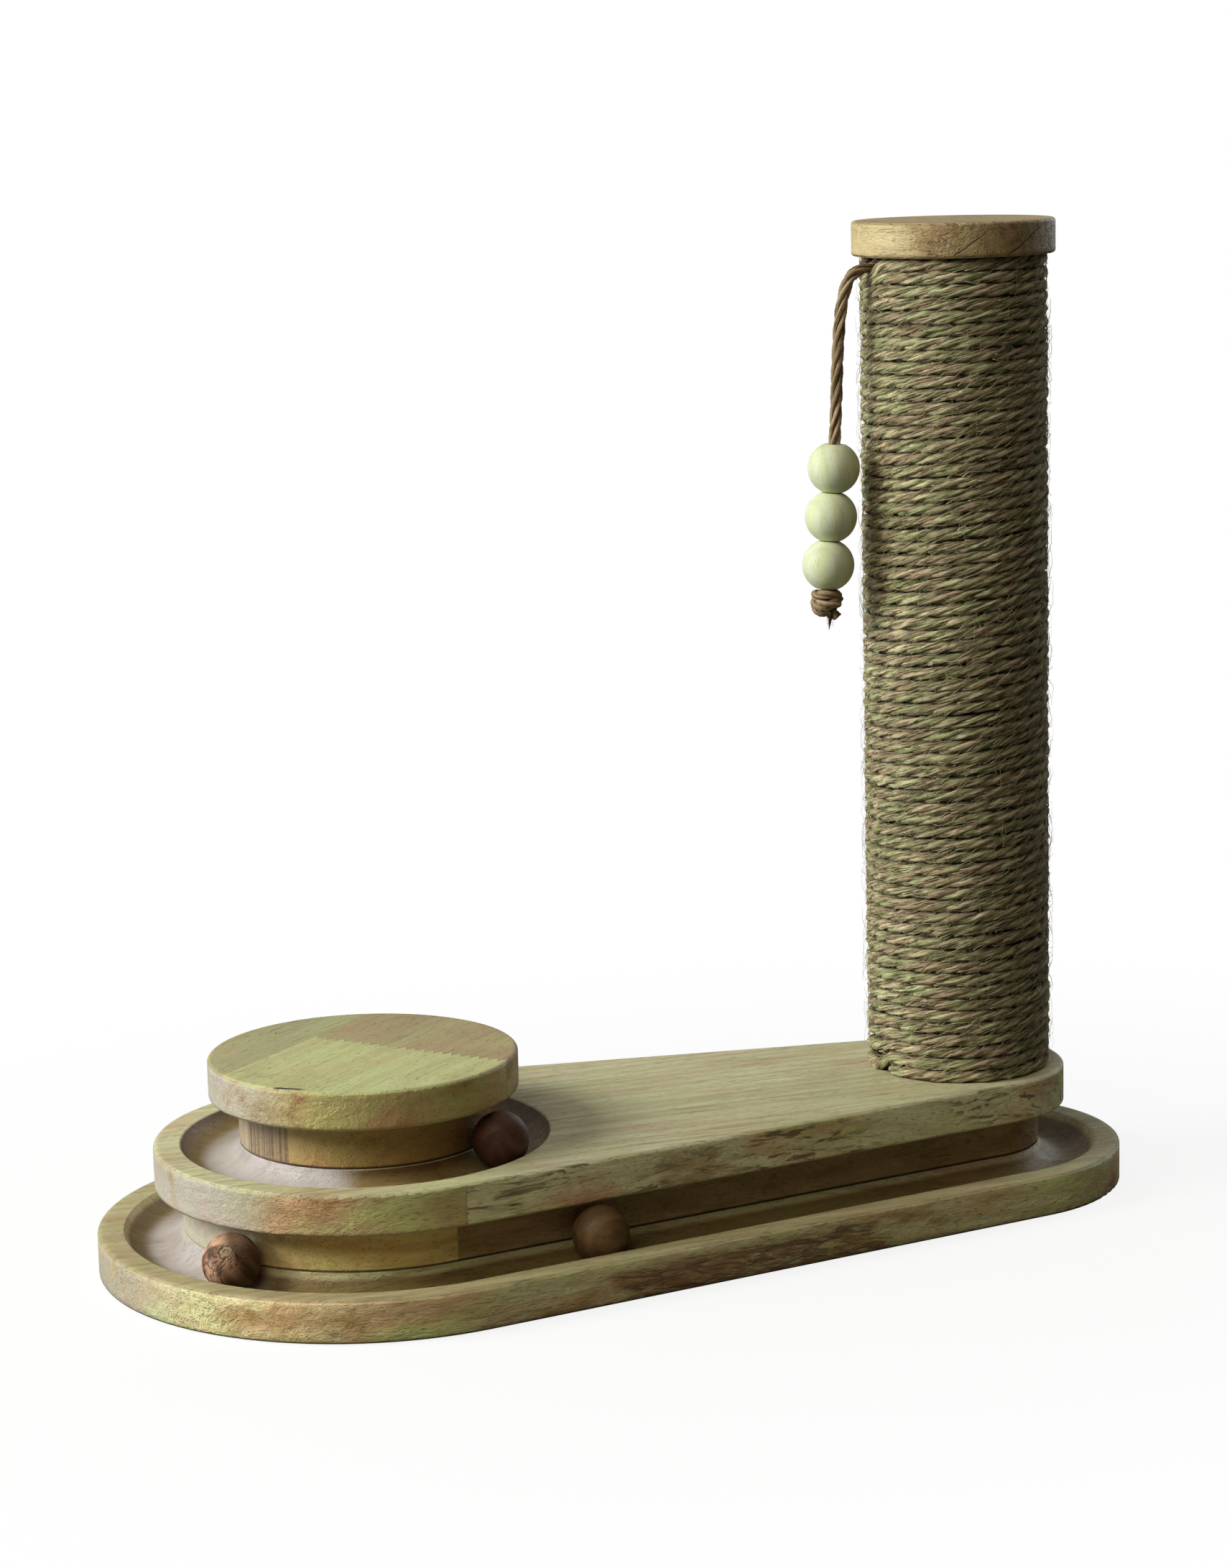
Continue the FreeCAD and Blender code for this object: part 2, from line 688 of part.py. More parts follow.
# Route of the cord, as distance out from the post's axis and distance below the cap.
CORD_ROUTE = [
    (44.2, 3.6),
    (52.3, 17.0),
    (55.0, 37.0),
    (56.4, 75.0),
]
TOY_LEAN = math.radians(4.3)
FIRST_BEAD = 14.5
BEAD_NAMES = ("toy_bead_top", "toy_bead_middle", "toy_bead_bottom")
RUN_SHARE = 0.45


def toy_point(out, below):
    return Vector(narrow_x.number - out, 0, cap_bottom.number - below)


def toy_line():
    """Start and direction of the straight, weighted end of the cord."""
    direction = Vector(-math.sin(TOY_LEAN), 0, -math.cos(TOY_LEAN))
    return toy_point(*CORD_ROUTE[-1]), direction


def bead_step():
    return size["bead_height"].number + size["bead_gap"].number


def knot_top():
    start, direction = toy_line()
    return start + direction * (FIRST_BEAD + (len(BEAD_NAMES) - 0.5) * bead_step())


def rounded_route(points):
    """Straight runs joined by tangent arcs, each as large as its two runs allow."""
    edges = []
    here = points[0]
    for before, corner, after in zip(points, points[1:], points[2:]):
        incoming = corner - before
        outgoing = after - corner
        turn = incoming.getAngle(outgoing)
        cut = RUN_SHARE * min(incoming.Length, outgoing.Length)
        radius = cut / math.tan(turn / 2)
        print("toy_cord: bend radius %.1f mm" % radius)
        start = corner - Vector(incoming).normalize() * cut
        end = corner + Vector(outgoing).normalize() * cut
        edges.append(Part.LineSegment(here, start).toShape())
        edges.append(tangent_arc(start, Vector(incoming).normalize(), end))
        here = end
    edges.append(Part.LineSegment(here, points[-1]).toShape())
    return Part.Wire(edges)


def make_toy_cord():
    inner = toy_point(size["cord_inner_end"].number, size["cord_drop"].number)
    points = [inner] + [toy_point(*point) for point in CORD_ROUTE] + [knot_top()]
    route = rounded_route(points)
    radius = size["cord_radius"].number
    end = Part.Wire(Part.makeCircle(radius, points[0], points[1] - points[0]))
    cord = doc.addObject("Part::Feature", "toy_cord")
    cord.Label = "toy_cord"
    cord.Shape = route.makePipeShell([end], True, False)
    expected = math.pi * radius * radius * route.Length
    print("toy_cord: volume %.0f mm3, section times length %.0f mm3" % (cord.Shape.Volume, expected))
    return cord


def hang(body, point):
    """Puts a turned toy piece on the cord with its own Z axis up along the cord."""
    upward = -toy_line()[1]
    body.Placement = FreeCAD.Placement(point, FreeCAD.Rotation(UP, upward))


def make_beads():
    start, direction = toy_line()
    beads = []
    for count, name in enumerate(BEAD_NAMES):
        body = new_body(name)
        sketch = new_sketch(body, name + "_section", "XZ_Plane")
        bore = size["cord_radius"] + size["cord_gap"]
        half = size["bead_height"] / 2
        ball = size["bead_radius"]
        flat = root(ball * ball - half * half)
        tilt = math.atan2(half.number, flat.number)
        arc = Part.ArcOfCircle(Part.Circle(Vector(0, 0, 0), UP, ball.number), -tilt, tilt)
        points = [(bore, -half), (flat, -half), (flat, half), (bore, half)]
        corners = [Vector(x.number, y.number, 0) for x, y in points]
        bottom = sketch.addGeometry(Part.LineSegment(corners[0], corners[1]))
        curve = sketch.addGeometry(arc)
        top = sketch.addGeometry(Part.LineSegment(corners[2], corners[3]))
        wall = sketch.addGeometry(Part.LineSegment(corners[3], corners[0]))
        for first, end, second, begin in ((bottom, 2, curve, 1), (curve, 2, top, 1),
                                          (top, 2, wall, 1), (wall, 2, bottom, 1)):
            sketch.addConstraint(Sketcher.Constraint("Coincident", first, end, second, begin))
        sketch.addConstraint(Sketcher.Constraint("Coincident", curve, 3, -1, 1))
        constrain(sketch, ball, "Radius", curve)
        pin_point(sketch, bottom, 1, bore, -half)
        pin_point(sketch, top, 2, bore, half)
        sketch.addConstraint(Sketcher.Constraint("Horizontal", bottom))
        sketch.addConstraint(Sketcher.Constraint("Horizontal", top))
        revolve(body, sketch)
        hang(body, start + direction * (FIRST_BEAD + count * bead_step()))
        beads.append(body)
    return beads


def make_toy_knot():
    """A tied lump with a short loose end below it."""
    waist = size["cord_radius"]
    belly = size["knot_radius"]
    tall = size["knot_height"]
    body = turned_body("toy_knot", [
        (0, 0),
        (waist, 0),
        (belly, -tall * 0.3),
        (belly, -tall * 0.65),
        (waist, -tall),
        (waist, -tall - size["tail_length"]),
        (0, -tall - size["tail_length"]),
    ])
    hang(body, knot_top())
    return body


# The loose balls, each resting in its track.

def make_ball(name, x, y, z):
    ball = doc.addObject("Part::Sphere", name)
    ball.Label = name
    bind(ball, "Radius", size["ball_radius"])
    place(ball, x, y, z)
    return ball


def make_balls():
    ring_bearing = size["ring_ball_angle"]
    left_bearing = size["left_ball_angle"]
    taper = (size["base_wide_radius"] - size["base_narrow_radius"]) / centre_distance
    slope = root(as_length(1) - taper * taper)
    run = size["front_ball_run"]
    low = size["base_thickness"] + ball_rise
    ring_x = wide_x + ring_track_radius * cosine(ring_bearing)
    left_x = wide_x + track_wide_radius * cosine(left_bearing)
    front_x = wide_x + track_wide_radius * taper + run * slope
    front_y = run * taper - track_wide_radius * slope
    return [
        make_ball("ring_ball", ring_x, ring_track_radius * sine(ring_bearing), deck_top + ball_rise),
        make_ball("left_ball", left_x, track_wide_radius * sine(left_bearing), low),
        make_ball("front_ball", front_x, front_y, low),
    ]


# Build every piece, test it and write it.

pieces = [
    make_base_board(),
    make_deck_board(),
    make_top_disc(),
    make_screws("deck_screws", deck_screw_places, size["head_recess"]),
    make_screws("disc_screws", disc_screw_places,
                deck_bottom + size["disc_screw_recess"] - size["screw_head_height"]),
    make_post_core(),
    make_post_plug(),
    make_ring("threaded_insert", size["bolt_radius"] + size["bolt_fit_gap"], size["insert_radius"],
              size["insert_length"], deck_top),
    make_post_bolt(),
    make_ring("post_washer", size["bolt_radius"] + size["bolt_fit_gap"], size["washer_radius"],
              size["washer_thickness"], size["head_recess"] + size["bolt_head_height"]),
    make_rope_wrap(),
    make_post_cap(),
    make_toy_cord(),
    make_toy_knot(),
]
pieces += make_beads()
pieces += make_balls()
doc.recompute()

for thing in doc.Objects:
    if "Invalid" in thing.State or "Error" in thing.State:
        raise RuntimeError("failed: " + thing.Name)
for piece in pieces:
    if piece.Shape.isNull() or not piece.Shape.isValid():
        raise RuntimeError("bad shape: " + piece.Label)

os.makedirs("parts", exist_ok=True)
for piece in pieces:
    piece.Shape.exportStep(os.path.join("parts", piece.Label + ".step"))
    print("%s: %d solids, %.0f mm3" % (piece.Label, len(piece.Shape.Solids), piece.Shape.Volume))
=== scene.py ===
# %% [markdown]
# # Dressing a wooden cat scratcher
# The CAD parts are already the right size and in the right place. What they lack is everything
# that a hand or a cat would feel: grain, glue lines, twisted rope, loose fibres and a tied knot.
# This lesson keeps the hard wooden parts as they are and gives them timber, and it replaces the
# plain rope, cord and knot with ones that are laid from strands.

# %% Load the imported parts
import math

import bpy
import numpy as np
from mathutils import Matrix, Vector


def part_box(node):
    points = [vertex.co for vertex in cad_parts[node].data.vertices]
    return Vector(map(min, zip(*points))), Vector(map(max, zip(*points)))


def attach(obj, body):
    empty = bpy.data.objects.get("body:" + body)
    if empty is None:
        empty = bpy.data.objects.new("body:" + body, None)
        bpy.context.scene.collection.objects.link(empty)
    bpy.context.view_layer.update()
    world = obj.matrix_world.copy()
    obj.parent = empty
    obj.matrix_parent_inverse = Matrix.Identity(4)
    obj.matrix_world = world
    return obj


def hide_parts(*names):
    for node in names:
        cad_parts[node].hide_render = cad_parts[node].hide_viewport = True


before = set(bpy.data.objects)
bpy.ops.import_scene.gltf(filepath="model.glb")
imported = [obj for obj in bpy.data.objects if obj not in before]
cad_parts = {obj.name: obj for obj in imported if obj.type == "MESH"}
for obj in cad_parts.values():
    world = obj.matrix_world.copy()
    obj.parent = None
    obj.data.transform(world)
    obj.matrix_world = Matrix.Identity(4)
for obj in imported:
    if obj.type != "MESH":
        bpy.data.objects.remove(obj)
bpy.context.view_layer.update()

scene = bpy.context.scene
scene.view_settings.view_transform = "Standard"

# %% [markdown]
# ## The camera
# A long lens, a little above the post's cap, looking down by eleven degrees. The place and the
# lens were found by fitting the outlines of the boards, so no lens shift is needed. A camera
# looks along its own -Z axis, so the rotation's columns are right, up and backwards.

# %% Camera
IMAGE_HEIGHT = 2182
FOCAL_LENGTH_PIXELS = 5140.6
SENSOR_MM = 36.0

camera_data = bpy.data.cameras.new("photo_camera")
camera_data.sensor_width = SENSOR_MM
camera_data.lens = SENSOR_MM * FOCAL_LENGTH_PIXELS / IMAGE_HEIGHT
camera = bpy.data.objects.new("photo_camera", camera_data)
scene.collection.objects.link(camera)
scene.camera = camera

view_direction = Vector((0.336032, 0.923233, -0.186344)).normalized()
roughly_up = Vector((0.086375, 0.166807, 0.982199))
view_right = view_direction.cross(roughly_up).normalized()
view_up = view_right.cross(view_direction)
camera_turn = Matrix((view_right, view_up, -view_direction)).transposed()
camera_place = Vector((-0.53357, -1.46152, 0.48994))
camera.matrix_world = Matrix.Translation(camera_place) @ camera_turn.to_4x4()
print("camera lens %.1f mm" % camera_data.lens)

# %% [markdown]
# ## Strands
# Rope, cord and knot are all the same thing: a few strands laid round a line. One strand is a
# tube whose middle runs round the line like a screw thread. It could be a curve with a bevel,
# but a mesh lets every ring carry two extra facts for the material: where it is along and round
# the strand (`fibre`), and how far it stands out of the bundle (`crown`).

# %% Tubes from rings
MM = 0.001
FULL_TURN = 2 * math.pi


def skin(rings):
    """Faces of a closed tube over rings of points, numbered ring by ring."""
    count, sides = rings.shape[:2]
    index = np.arange(count * sides).reshape(count, sides)
    beside = np.roll(index, -1, axis=1)
    quads = np.stack([index[:-1], beside[:-1], beside[1:], index[1:]], axis=-1)
    return quads.reshape(-1, 4).tolist() + [index[0][::-1].tolist(), index[-1].tolist()]


def tube_piece(name, tubes):
    """One mesh object from several tubes, each a tuple of rings, fibre places and crown."""
    faces = []
    start = 0
    for rings, _, _ in tubes:
        faces += [[corner + start for corner in face] for face in skin(rings)]
        start += rings.shape[0] * rings.shape[1]
    points = np.concatenate([rings.reshape(-1, 3) for rings, _, _ in tubes])
    places = np.concatenate([fibre.reshape(-1, 3) for _, fibre, _ in tubes])
    heights = np.concatenate([crown.ravel() for _, _, crown in tubes])
    mesh = bpy.data.meshes.new(name)
    mesh.from_pydata(points.tolist(), [], faces)
    mesh.shade_smooth()
    mesh.attributes.new("fibre", "FLOAT_VECTOR", "POINT").data.foreach_set("vector", places.ravel())
    mesh.attributes.new("crown", "FLOAT", "POINT").data.foreach_set("value", heights)
    piece = bpy.data.objects.new(name, mesh)
    scene.collection.objects.link(piece)
    return piece


def distance_along(line):
    steps = np.linalg.norm(np.diff(line, axis=0), axis=1)
    return np.concatenate([[0.0], np.cumsum(steps)])


def carried_frames(line, first_normal):
    """Two directions across a line, carried along it without spinning."""
    tangents = np.gradient(line, axis=0)
    tangents /= np.linalg.norm(tangents, axis=1)[:, None]
    normals = np.empty_like(tangents)
    normal = np.array(first_normal, float)
    for i, tangent in enumerate(tangents):
        normal = normal - tangent * normal.dot(tangent)
        normal /= np.linalg.norm(normal)
        normals[i] = normal
    return normals, np.cross(tangents, normals)


print("helpers for tubes")

# %% [markdown]
# The fibres inside a strand are twisted the other way from the strands themselves, which keeps a
# real rope from undoing itself. So the `fibre` places turn back against the lay by some share.

# %% One laid strand
BACK_TWIST = 0.6
CORD_SIDES = 10
HAIR_SIDES = 3
HAIR_TIP = 0.35

draws = np.random.default_rng(5)


def laid_strand(line, frames, middle_radius, strand_radius, lay, start, sides, seed, lumps=0.0):
    """Rings, fibre places and crown of one strand that winds round a line.

    The frames are two directions across the line, and lumps make the skin uneven.
    """
    normals, binormals = frames
    along = distance_along(line)
    turn = start + FULL_TURN * along / lay
    outward = np.cos(turn)[:, None] * normals + np.sin(turn)[:, None] * binormals
    across = -np.sin(turn)[:, None] * normals + np.cos(turn)[:, None] * binormals
    radius = np.broadcast_to(np.asarray(strand_radius, float), along.shape)
    offset = np.broadcast_to(np.asarray(middle_radius, float), along.shape)
    middle = line + outward * offset[:, None]
    angles = FULL_TURN * np.arange(sides) / sides
    spokes = (np.cos(angles)[None, :, None] * outward[:, None, :]
              + np.sin(angles)[None, :, None] * across[:, None, :])
    skin_radius = radius[:, None] + draws.normal(0.0, 1.0, (len(line), sides)) * lumps
    rings = middle[:, None, :] + skin_radius[:, :, None] * spokes
    bearing = angles[None, :] + BACK_TWIST * turn[:, None]
    fibre = np.stack([
        radius[:, None] * np.cos(bearing),
        radius[:, None] * np.sin(bearing),
        np.broadcast_to((along + seed)[:, None], bearing.shape),
    ], axis=-1)
    reach = np.linalg.norm(rings - line[:, None, :], axis=2)
    return rings, fibre, reach / reach.max()


def laid_cord(line, first_normal, middle_radius, strand_radius, lay, seeds, lumps):
    """Strands evenly round a line, one for each seed."""
    frames = carried_frames(line, first_normal)
    return [laid_strand(line, frames, middle_radius, strand_radius, lay,
                        FULL_TURN * number / len(seeds), CORD_SIDES, seed, lumps)
            for number, seed in enumerate(seeds)]


def loose_fibre(line, thickness, seed):
    """A single hair along a line, thinning to its tip."""
    frames = carried_frames(line, (0.31, 0.17, 0.93))
    radius = thickness / 2 * np.linspace(1.0, HAIR_TIP, len(line))
    return laid_strand(line, frames, 0.0, radius, 1.0, 0.0, HAIR_SIDES, seed)


print("helpers for strands, cords and loose fibres")

# %% [markdown]
# ## The hanging cord
# A limp brown cord leaves a slot under the cap, bends over and hangs straight under the weight of
# its beads. Its line is a NURBS curve that is drawn towards a few corner points and rounds them
# the way a soft cord does. The curve is turned into plain points, and four strands are laid
# along those.

# %% Cord line
CORD_CORNERS_MM = [
    (134.5, 410.8),
    (114.4, 410.9),
    (108.0, 399.0),
    (105.5, 377.0),
    (104.1, 339.0),
    (99.08, 272.19),
]
CORD_RADIUS = 2.7 * MM
CORD_RESOLUTION = 48


def smooth_line(corners, resolution):
    """Points along a NURBS curve with these control points."""
    curve = bpy.data.curves.new("line", "CURVE")
    curve.dimensions = "3D"
    spline = curve.splines.new("NURBS")
    spline.points.add(len(corners) - 1)
    for point, corner in zip(spline.points, corners):
        point.co = (*corner, 1.0)
    spline.order_u = 3
    spline.use_endpoint_u = True
    spline.resolution_u = resolution
    holder = bpy.data.objects.new("line", curve)
    mesh = bpy.data.meshes.new_from_object(holder)
    line = np.array([vertex.co for vertex in mesh.vertices], float)
    bpy.data.objects.remove(holder)
    bpy.data.curves.remove(curve)
    bpy.data.meshes.remove(mesh)
    return line


cord_line = smooth_line([(x * MM, 0.0, z * MM) for x, z in CORD_CORNERS_MM], CORD_RESOLUTION)
print("cord line %.1f mm long, %d points" % (distance_along(cord_line)[-1] / MM, len(cord_line)))

# %% [markdown]
# The hole in the tube squeezes the cord a little, which leaves it room under the cap to swing.

# %% Cord strands
CORD_STRANDS = 4
CORD_LAY = 36 * MM
CORD_STRAND_RADIUS = 1.22 * MM
CORD_LUMPS = 0.07 * MM
CORD_SQUEEZED = 0.8
HOLE_X = (113.0 * MM, 119.0 * MM)

cord_size = np.interp(cord_line[:, 0], HOLE_X, (1.0, CORD_SQUEEZED))
cord = tube_piece("hanging_cord", laid_cord(
    cord_line, (0.0, 1.0, 0.0), (CORD_RADIUS - CORD_STRAND_RADIUS) * cord_size,
    CORD_STRAND_RADIUS * cord_size, CORD_LAY, [3.1 * number for number in range(CORD_STRANDS)],
    CORD_LUMPS))
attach(cord, "toy")
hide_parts("toy_cord")
print("cord of", CORD_STRANDS, "strands,", len(cord.data.polygons), "faces")

# %% [markdown]
# ## The knot and its loose end
# Below the last bead the cord is tied in a fat knot: it goes down the middle, comes out, wraps
# twice round itself and leaves at the lower right, where it was cut. The other tuft is the
# pulled-out end, which thins to a wisp. Both routes are given as steps to the right, to the
# front and down from the top of the knot, because that is how one looks at a knot.

# %% Knot
KNOT_TOP = np.array((99.08, 0.0, 272.19)) * MM
KNOT_AXES = np.array([(0.938, -0.346, 0.0), (-0.346, -0.938, 0.0), (-0.075, 0.0, -0.997)])
KNOT_ROUTE_MM = [
    (0.0, 0.0, -1.5), (0.0, 0.0, 3.0), (-2.8, -3.0, 5.6),
    (-5.0, 0.2, 6.0), (-3.2, 4.4, 6.5), (1.6, 5.2, 6.1), (5.0, 2.3, 5.4), (5.0, -1.9, 4.6),
    (1.8, -4.8, 4.0), (-2.8, -4.4, 3.2), (-5.0, -0.4, 2.6), (-3.2, 3.9, 2.5), (1.4, 4.6, 1.8),
    (4.6, 1.6, 2.3), (4.6, -1.9, 5.0), (3.0, -1.2, 8.4), (3.4, 0.4, 10.4), (5.2, 1.0, 12.4),
]
LOOSE_END_MM = [
    (-4.2, -0.5, 6.0), (-4.2, 1.6, 8.2), (-1.2, 3.0, 9.6), (1.4, 1.4, 10.0),
    (2.0, 0.9, 12.0), (2.0, 0.9, 14.5), (1.9, 1.0, 17.6),
]
KNOT_CORD = 5.1 * MM
KNOT_STRANDS = 3
KNOT_LUMPS = 0.08 * MM
KNOT_RESOLUTION = 14


def small_cord(route_mm, sizes, lay, seed):
    """Strands along a route at the knot; sizes are shares of the thickness along it."""
    corners = [tuple(value * MM for value in corner) for corner in route_mm]
    line = smooth_line(corners, KNOT_RESOLUTION) @ KNOT_AXES + KNOT_TOP
    size = np.interp(np.linspace(0.0, 1.0, len(line)), np.linspace(0.0, 1.0, len(sizes)), sizes)
    return line, laid_cord(
        line, (0.31, 0.93, 0.17), 0.23 * KNOT_CORD * size, 0.27 * KNOT_CORD * size, lay,
        [seed + 3.7 * number for number in range(KNOT_STRANDS)], KNOT_LUMPS * size[:, None])


wrap_line, wrap_tubes = small_cord(KNOT_ROUTE_MM, (1.0, 1.0, 0.9), 21 * MM, 20.0)
end_line, end_tubes = small_cord(LOOSE_END_MM, (1.0, 1.0, 0.75, 0.4, 0.06), 26 * MM, 40.0)
print("knot of", len(wrap_tubes) + len(end_tubes), "strands")

# %% [markdown]
# Loose fibres stand round the wisp, the cut end and the wraps. They are what makes it jute.

# %% Fibres of the knot
STRAY_FIBRES = 60

draws = np.random.default_rng(11)
stray_tubes = []
for number in range(STRAY_FIBRES):
    at_end = number % 2
    line, first = (end_line, 0.45) if at_end else (wrap_line, draws.uniform(0.1, 0.93))
    start = int(first * len(line))
    piece_of_line = line[start:start + len(line) // (2 if at_end else 14)]
    drift = draws.normal(0.0, 0.8 * MM, 3)
    spread = 2.3 * MM * draws.normal(0.0, 0.42, 3)
    share = np.linspace(0.0, 1.0, len(piece_of_line))[:, None]
    stray_tubes.append(loose_fibre(piece_of_line + spread * (1 - 0.7 * share) + drift * share,
                                   draws.uniform(0.14, 0.26) * MM, 60.0 + number))
knot = tube_piece("cord_knot", wrap_tubes + end_tubes + stray_tubes)
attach(knot, "toy")
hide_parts("toy_knot")
print("knot and loose end,", len(knot.data.polygons), "faces")

# %% [markdown]
# Last, the beads that hang on the cord are named.

# %% Beads on the cord
BEADS = ("toy_bead_top", "toy_bead_middle", "toy_bead_bottom")

# %% [markdown]
# ## The rope on the post
# Sixty-six courses of jute rope stand on each other from the deck to the cap. The rope is one
# long line, wound like a spring. At the foot and under the cap it has to lie flat, so there it
# stays level nearly all the way round and steps up beside the cord's slot. Farther from the ends
# the step spreads until it is an even rise. Real winding is never even: the line wanders, whole
# bands of courses lean, and the last few degrees tuck in against the tube.

# %% Wound line
POST_X = 160.5 * MM
ROPE_MIDDLE_RADIUS = 37.9 * MM
ROPE_FOOT = 57.0 * MM
ROPE_HEAD = 411.0 * MM
COURSES = 66
ROPE_START_DEG = 195.0
ROPE_END_DEG = 165.0
ROPE_STEP = 2.0 * MM
LEAN_RIGHT_DEG = 339.7
LEAN_MIDDLE = 0.26
LEAN_SPAN = 0.10
LEAN_RISE = 1.9 * MM
TUCK_TURNS = 0.04
TUCK_DEPTH = 2.2 * MM

draws = np.random.default_rng(7)
RINGS_PER_TURN = round(FULL_TURN * ROPE_MIDDLE_RADIUS / ROPE_STEP)
ROPE_TURNS = COURSES + (ROPE_END_DEG - ROPE_START_DEG) / 360
ring_count = round(ROPE_TURNS * RINGS_PER_TURN) + 1
turns = np.arange(ring_count) / RINGS_PER_TURN
bearing = math.radians(ROPE_START_DEG) + FULL_TURN * turns


def wander(amount, waves, per_turn):
    """A slow wobble along the winding, made of a few sine waves."""
    total = np.zeros(ring_count)
    for rate, phase in zip(draws.uniform(0.3, 1.0, waves), draws.uniform(0.0, FULL_TURN, waves)):
        total += np.sin(FULL_TURN * turns * per_turn * rate + phase)
    return amount * total / math.sqrt(waves)


course = np.floor(turns)
from_end = np.maximum(np.minimum(course, COURSES - 2 - course), 0)
step_share = np.minimum(0.04 + 0.08 * from_end, 1.0)
climb = np.clip((turns - course - 1 + step_share) / step_share, 0.0, 1.0)
rope_level = ROPE_FOOT + (ROPE_HEAD - ROPE_FOOT) * (course + climb) / (COURSES - 1)
lean = LEAN_RISE * np.exp(-((rope_level - LEAN_MIDDLE) / LEAN_SPAN) ** 2)
edge_room = np.clip(np.minimum(turns, ROPE_TURNS - turns) / 2, 0.0, 1.0)
rope_level = rope_level + lean * np.cos(bearing - math.radians(LEAN_RIGHT_DEG))
rope_level += edge_room * wander(0.28 * MM, 8, 2.6)
tuck = np.clip((turns - ROPE_TURNS + TUCK_TURNS) / TUCK_TURNS, 0.0, 1.0)
rope_radius = ROPE_MIDDLE_RADIUS + wander(0.22 * MM, 8, 3.4) - TUCK_DEPTH * tuck
rope_line = np.stack([
    POST_X + rope_radius * np.cos(bearing), rope_radius * np.sin(bearing), rope_level], axis=1)
print("rope line %.2f m long, %d rings" % (distance_along(rope_line)[-1], ring_count))

# %% [markdown]
# The courses press on each other, so the rope is squeezed a little taller than it is deep: the
# downward direction is simply made longer than one. Each strand is its own piece, so that no mesh
# grows too heavy. Every course gets a row of its own in the `OFBake` map, because a map made by
# unwrapping would tear such a long tube to shreds.

# %% Rope strands
ROPE_STRANDS = 4
ROPE_LAY = -40 * MM
ROPE_STRAND_RADIUS = 1.45 * MM
ROPE_STRAND_OFFSET = 1.38 * MM
ROPE_SQUEEZE = 1.06
ROPE_LUMPS = 0.2 * MM
ROPE_SIDES = 8
MAP_CORNER = 0.999

rope_normals = np.stack([np.cos(bearing), np.sin(bearing), np.zeros(ring_count)], axis=1)
rope_binormals = np.broadcast_to(np.array([0.0, 0.0, -ROPE_SQUEEZE]), rope_normals.shape)


def course_map(mesh):
    """A map with one row for each course of the winding, the strand's sides stacked in it."""
    rows = math.ceil(ROPE_TURNS)
    ring = np.arange(ring_count - 1)
    left = (ring % RINGS_PER_TURN) / RINGS_PER_TURN
    right = left + 1 / RINGS_PER_TURN
    side = np.arange(ROPE_SIDES) / (ROPE_SIDES * rows)
    low = (ring // RINGS_PER_TURN)[:, None] / rows + side[None, :]
    high = low + 1 / (ROPE_SIDES * rows)
    left = np.broadcast_to(left[:, None], low.shape)
    right = np.broadcast_to(right[:, None], low.shape)
    corners = np.stack([left, low, left, high, right, high, right, low], axis=-1).reshape(-1, 2)
    caps = np.tile([[MAP_CORNER, MAP_CORNER]], (2 * ROPE_SIDES, 1))
    layer = mesh.uv_layers.new(name="OFBake")
    layer.data.foreach_set("uv", np.concatenate([corners, caps]).ravel())


rope_strands = []
for number in range(ROPE_STRANDS):
    swell = ROPE_STRAND_RADIUS * (1 + wander(0.12, 10, 16.0))
    offset = ROPE_STRAND_OFFSET + wander(0.1 * MM, 8, 9.0)
    rings, fibre, _ = laid_strand(
        rope_line, (rope_normals, rope_binormals), offset, swell, ROPE_LAY,
        FULL_TURN * number / ROPE_STRANDS, ROPE_SIDES, 70.0 + 9.0 * number, ROPE_LUMPS)
    out = np.hypot(rings[..., 0] - POST_X, rings[..., 1]) - ROPE_MIDDLE_RADIUS
    crown = out / (ROPE_STRAND_RADIUS + ROPE_STRAND_OFFSET)
    strand = tube_piece("rope_strand_%d" % (number + 1), [(rings, fibre, crown)])
    course_map(strand.data)
    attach(strand, "stand")
    rope_strands.append(strand)
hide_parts("rope_wrap")
print("rope of", ROPE_STRANDS, "strands,", sum(len(s.data.polygons) for s in rope_strands), "faces")

# %% [markdown]
# ## Loose fibres on the rope
# Jute is hairy. Most loose fibres lie flat along the strands and blur their edges. Others lift
# off, curl and give the post its soft outline, and one in four of these is long and hangs across
# the courses. The lifted ones start low enough to leave the cord free to swing. Each is a thin
# three-sided tube, and all of one kind are one piece.

# %% Rope hair
FLAT_FIBRES = 6000
LIFTED_FIBRES = 3600
HAIR_POINTS = 6
HAIR_LIFT_MOST = 2.0 * MM
HAIR_FOOT = 57 * MM
FLAT_HEAD = 412 * MM
LIFTED_HEAD = 396 * MM
HAIR_LEVELS = (55.0 * MM, 413.2 * MM)
ROPE_FACE = 40.3 * MM

draws = np.random.default_rng(23)


def rope_hair(highest, long, way, climb, lift, curl, thickness, seed):
    """One fibre on the post: its highest start, length, way round, steepness, lift and bend."""
    share = np.linspace(0.0, 1.0, HAIR_POINTS)
    angle = draws.uniform(0.0, FULL_TURN) + way * long * share * (1 - 0.25 * share) / ROPE_FACE
    out = ROPE_FACE + draws.normal(0.0, 0.2 * MM) + np.minimum(lift * share ** 1.5, HAIR_LIFT_MOST)
    out = out + draws.normal(0.0, 0.1 * MM, HAIR_POINTS)
    level = draws.uniform(HAIR_FOOT, highest) + climb * long * share + curl * np.sin(3 * share)
    level = np.clip(level, *HAIR_LEVELS)
    line = np.stack([POST_X + out * np.cos(angle), out * np.sin(angle), level], axis=1)
    return loose_fibre(line, thickness, seed)


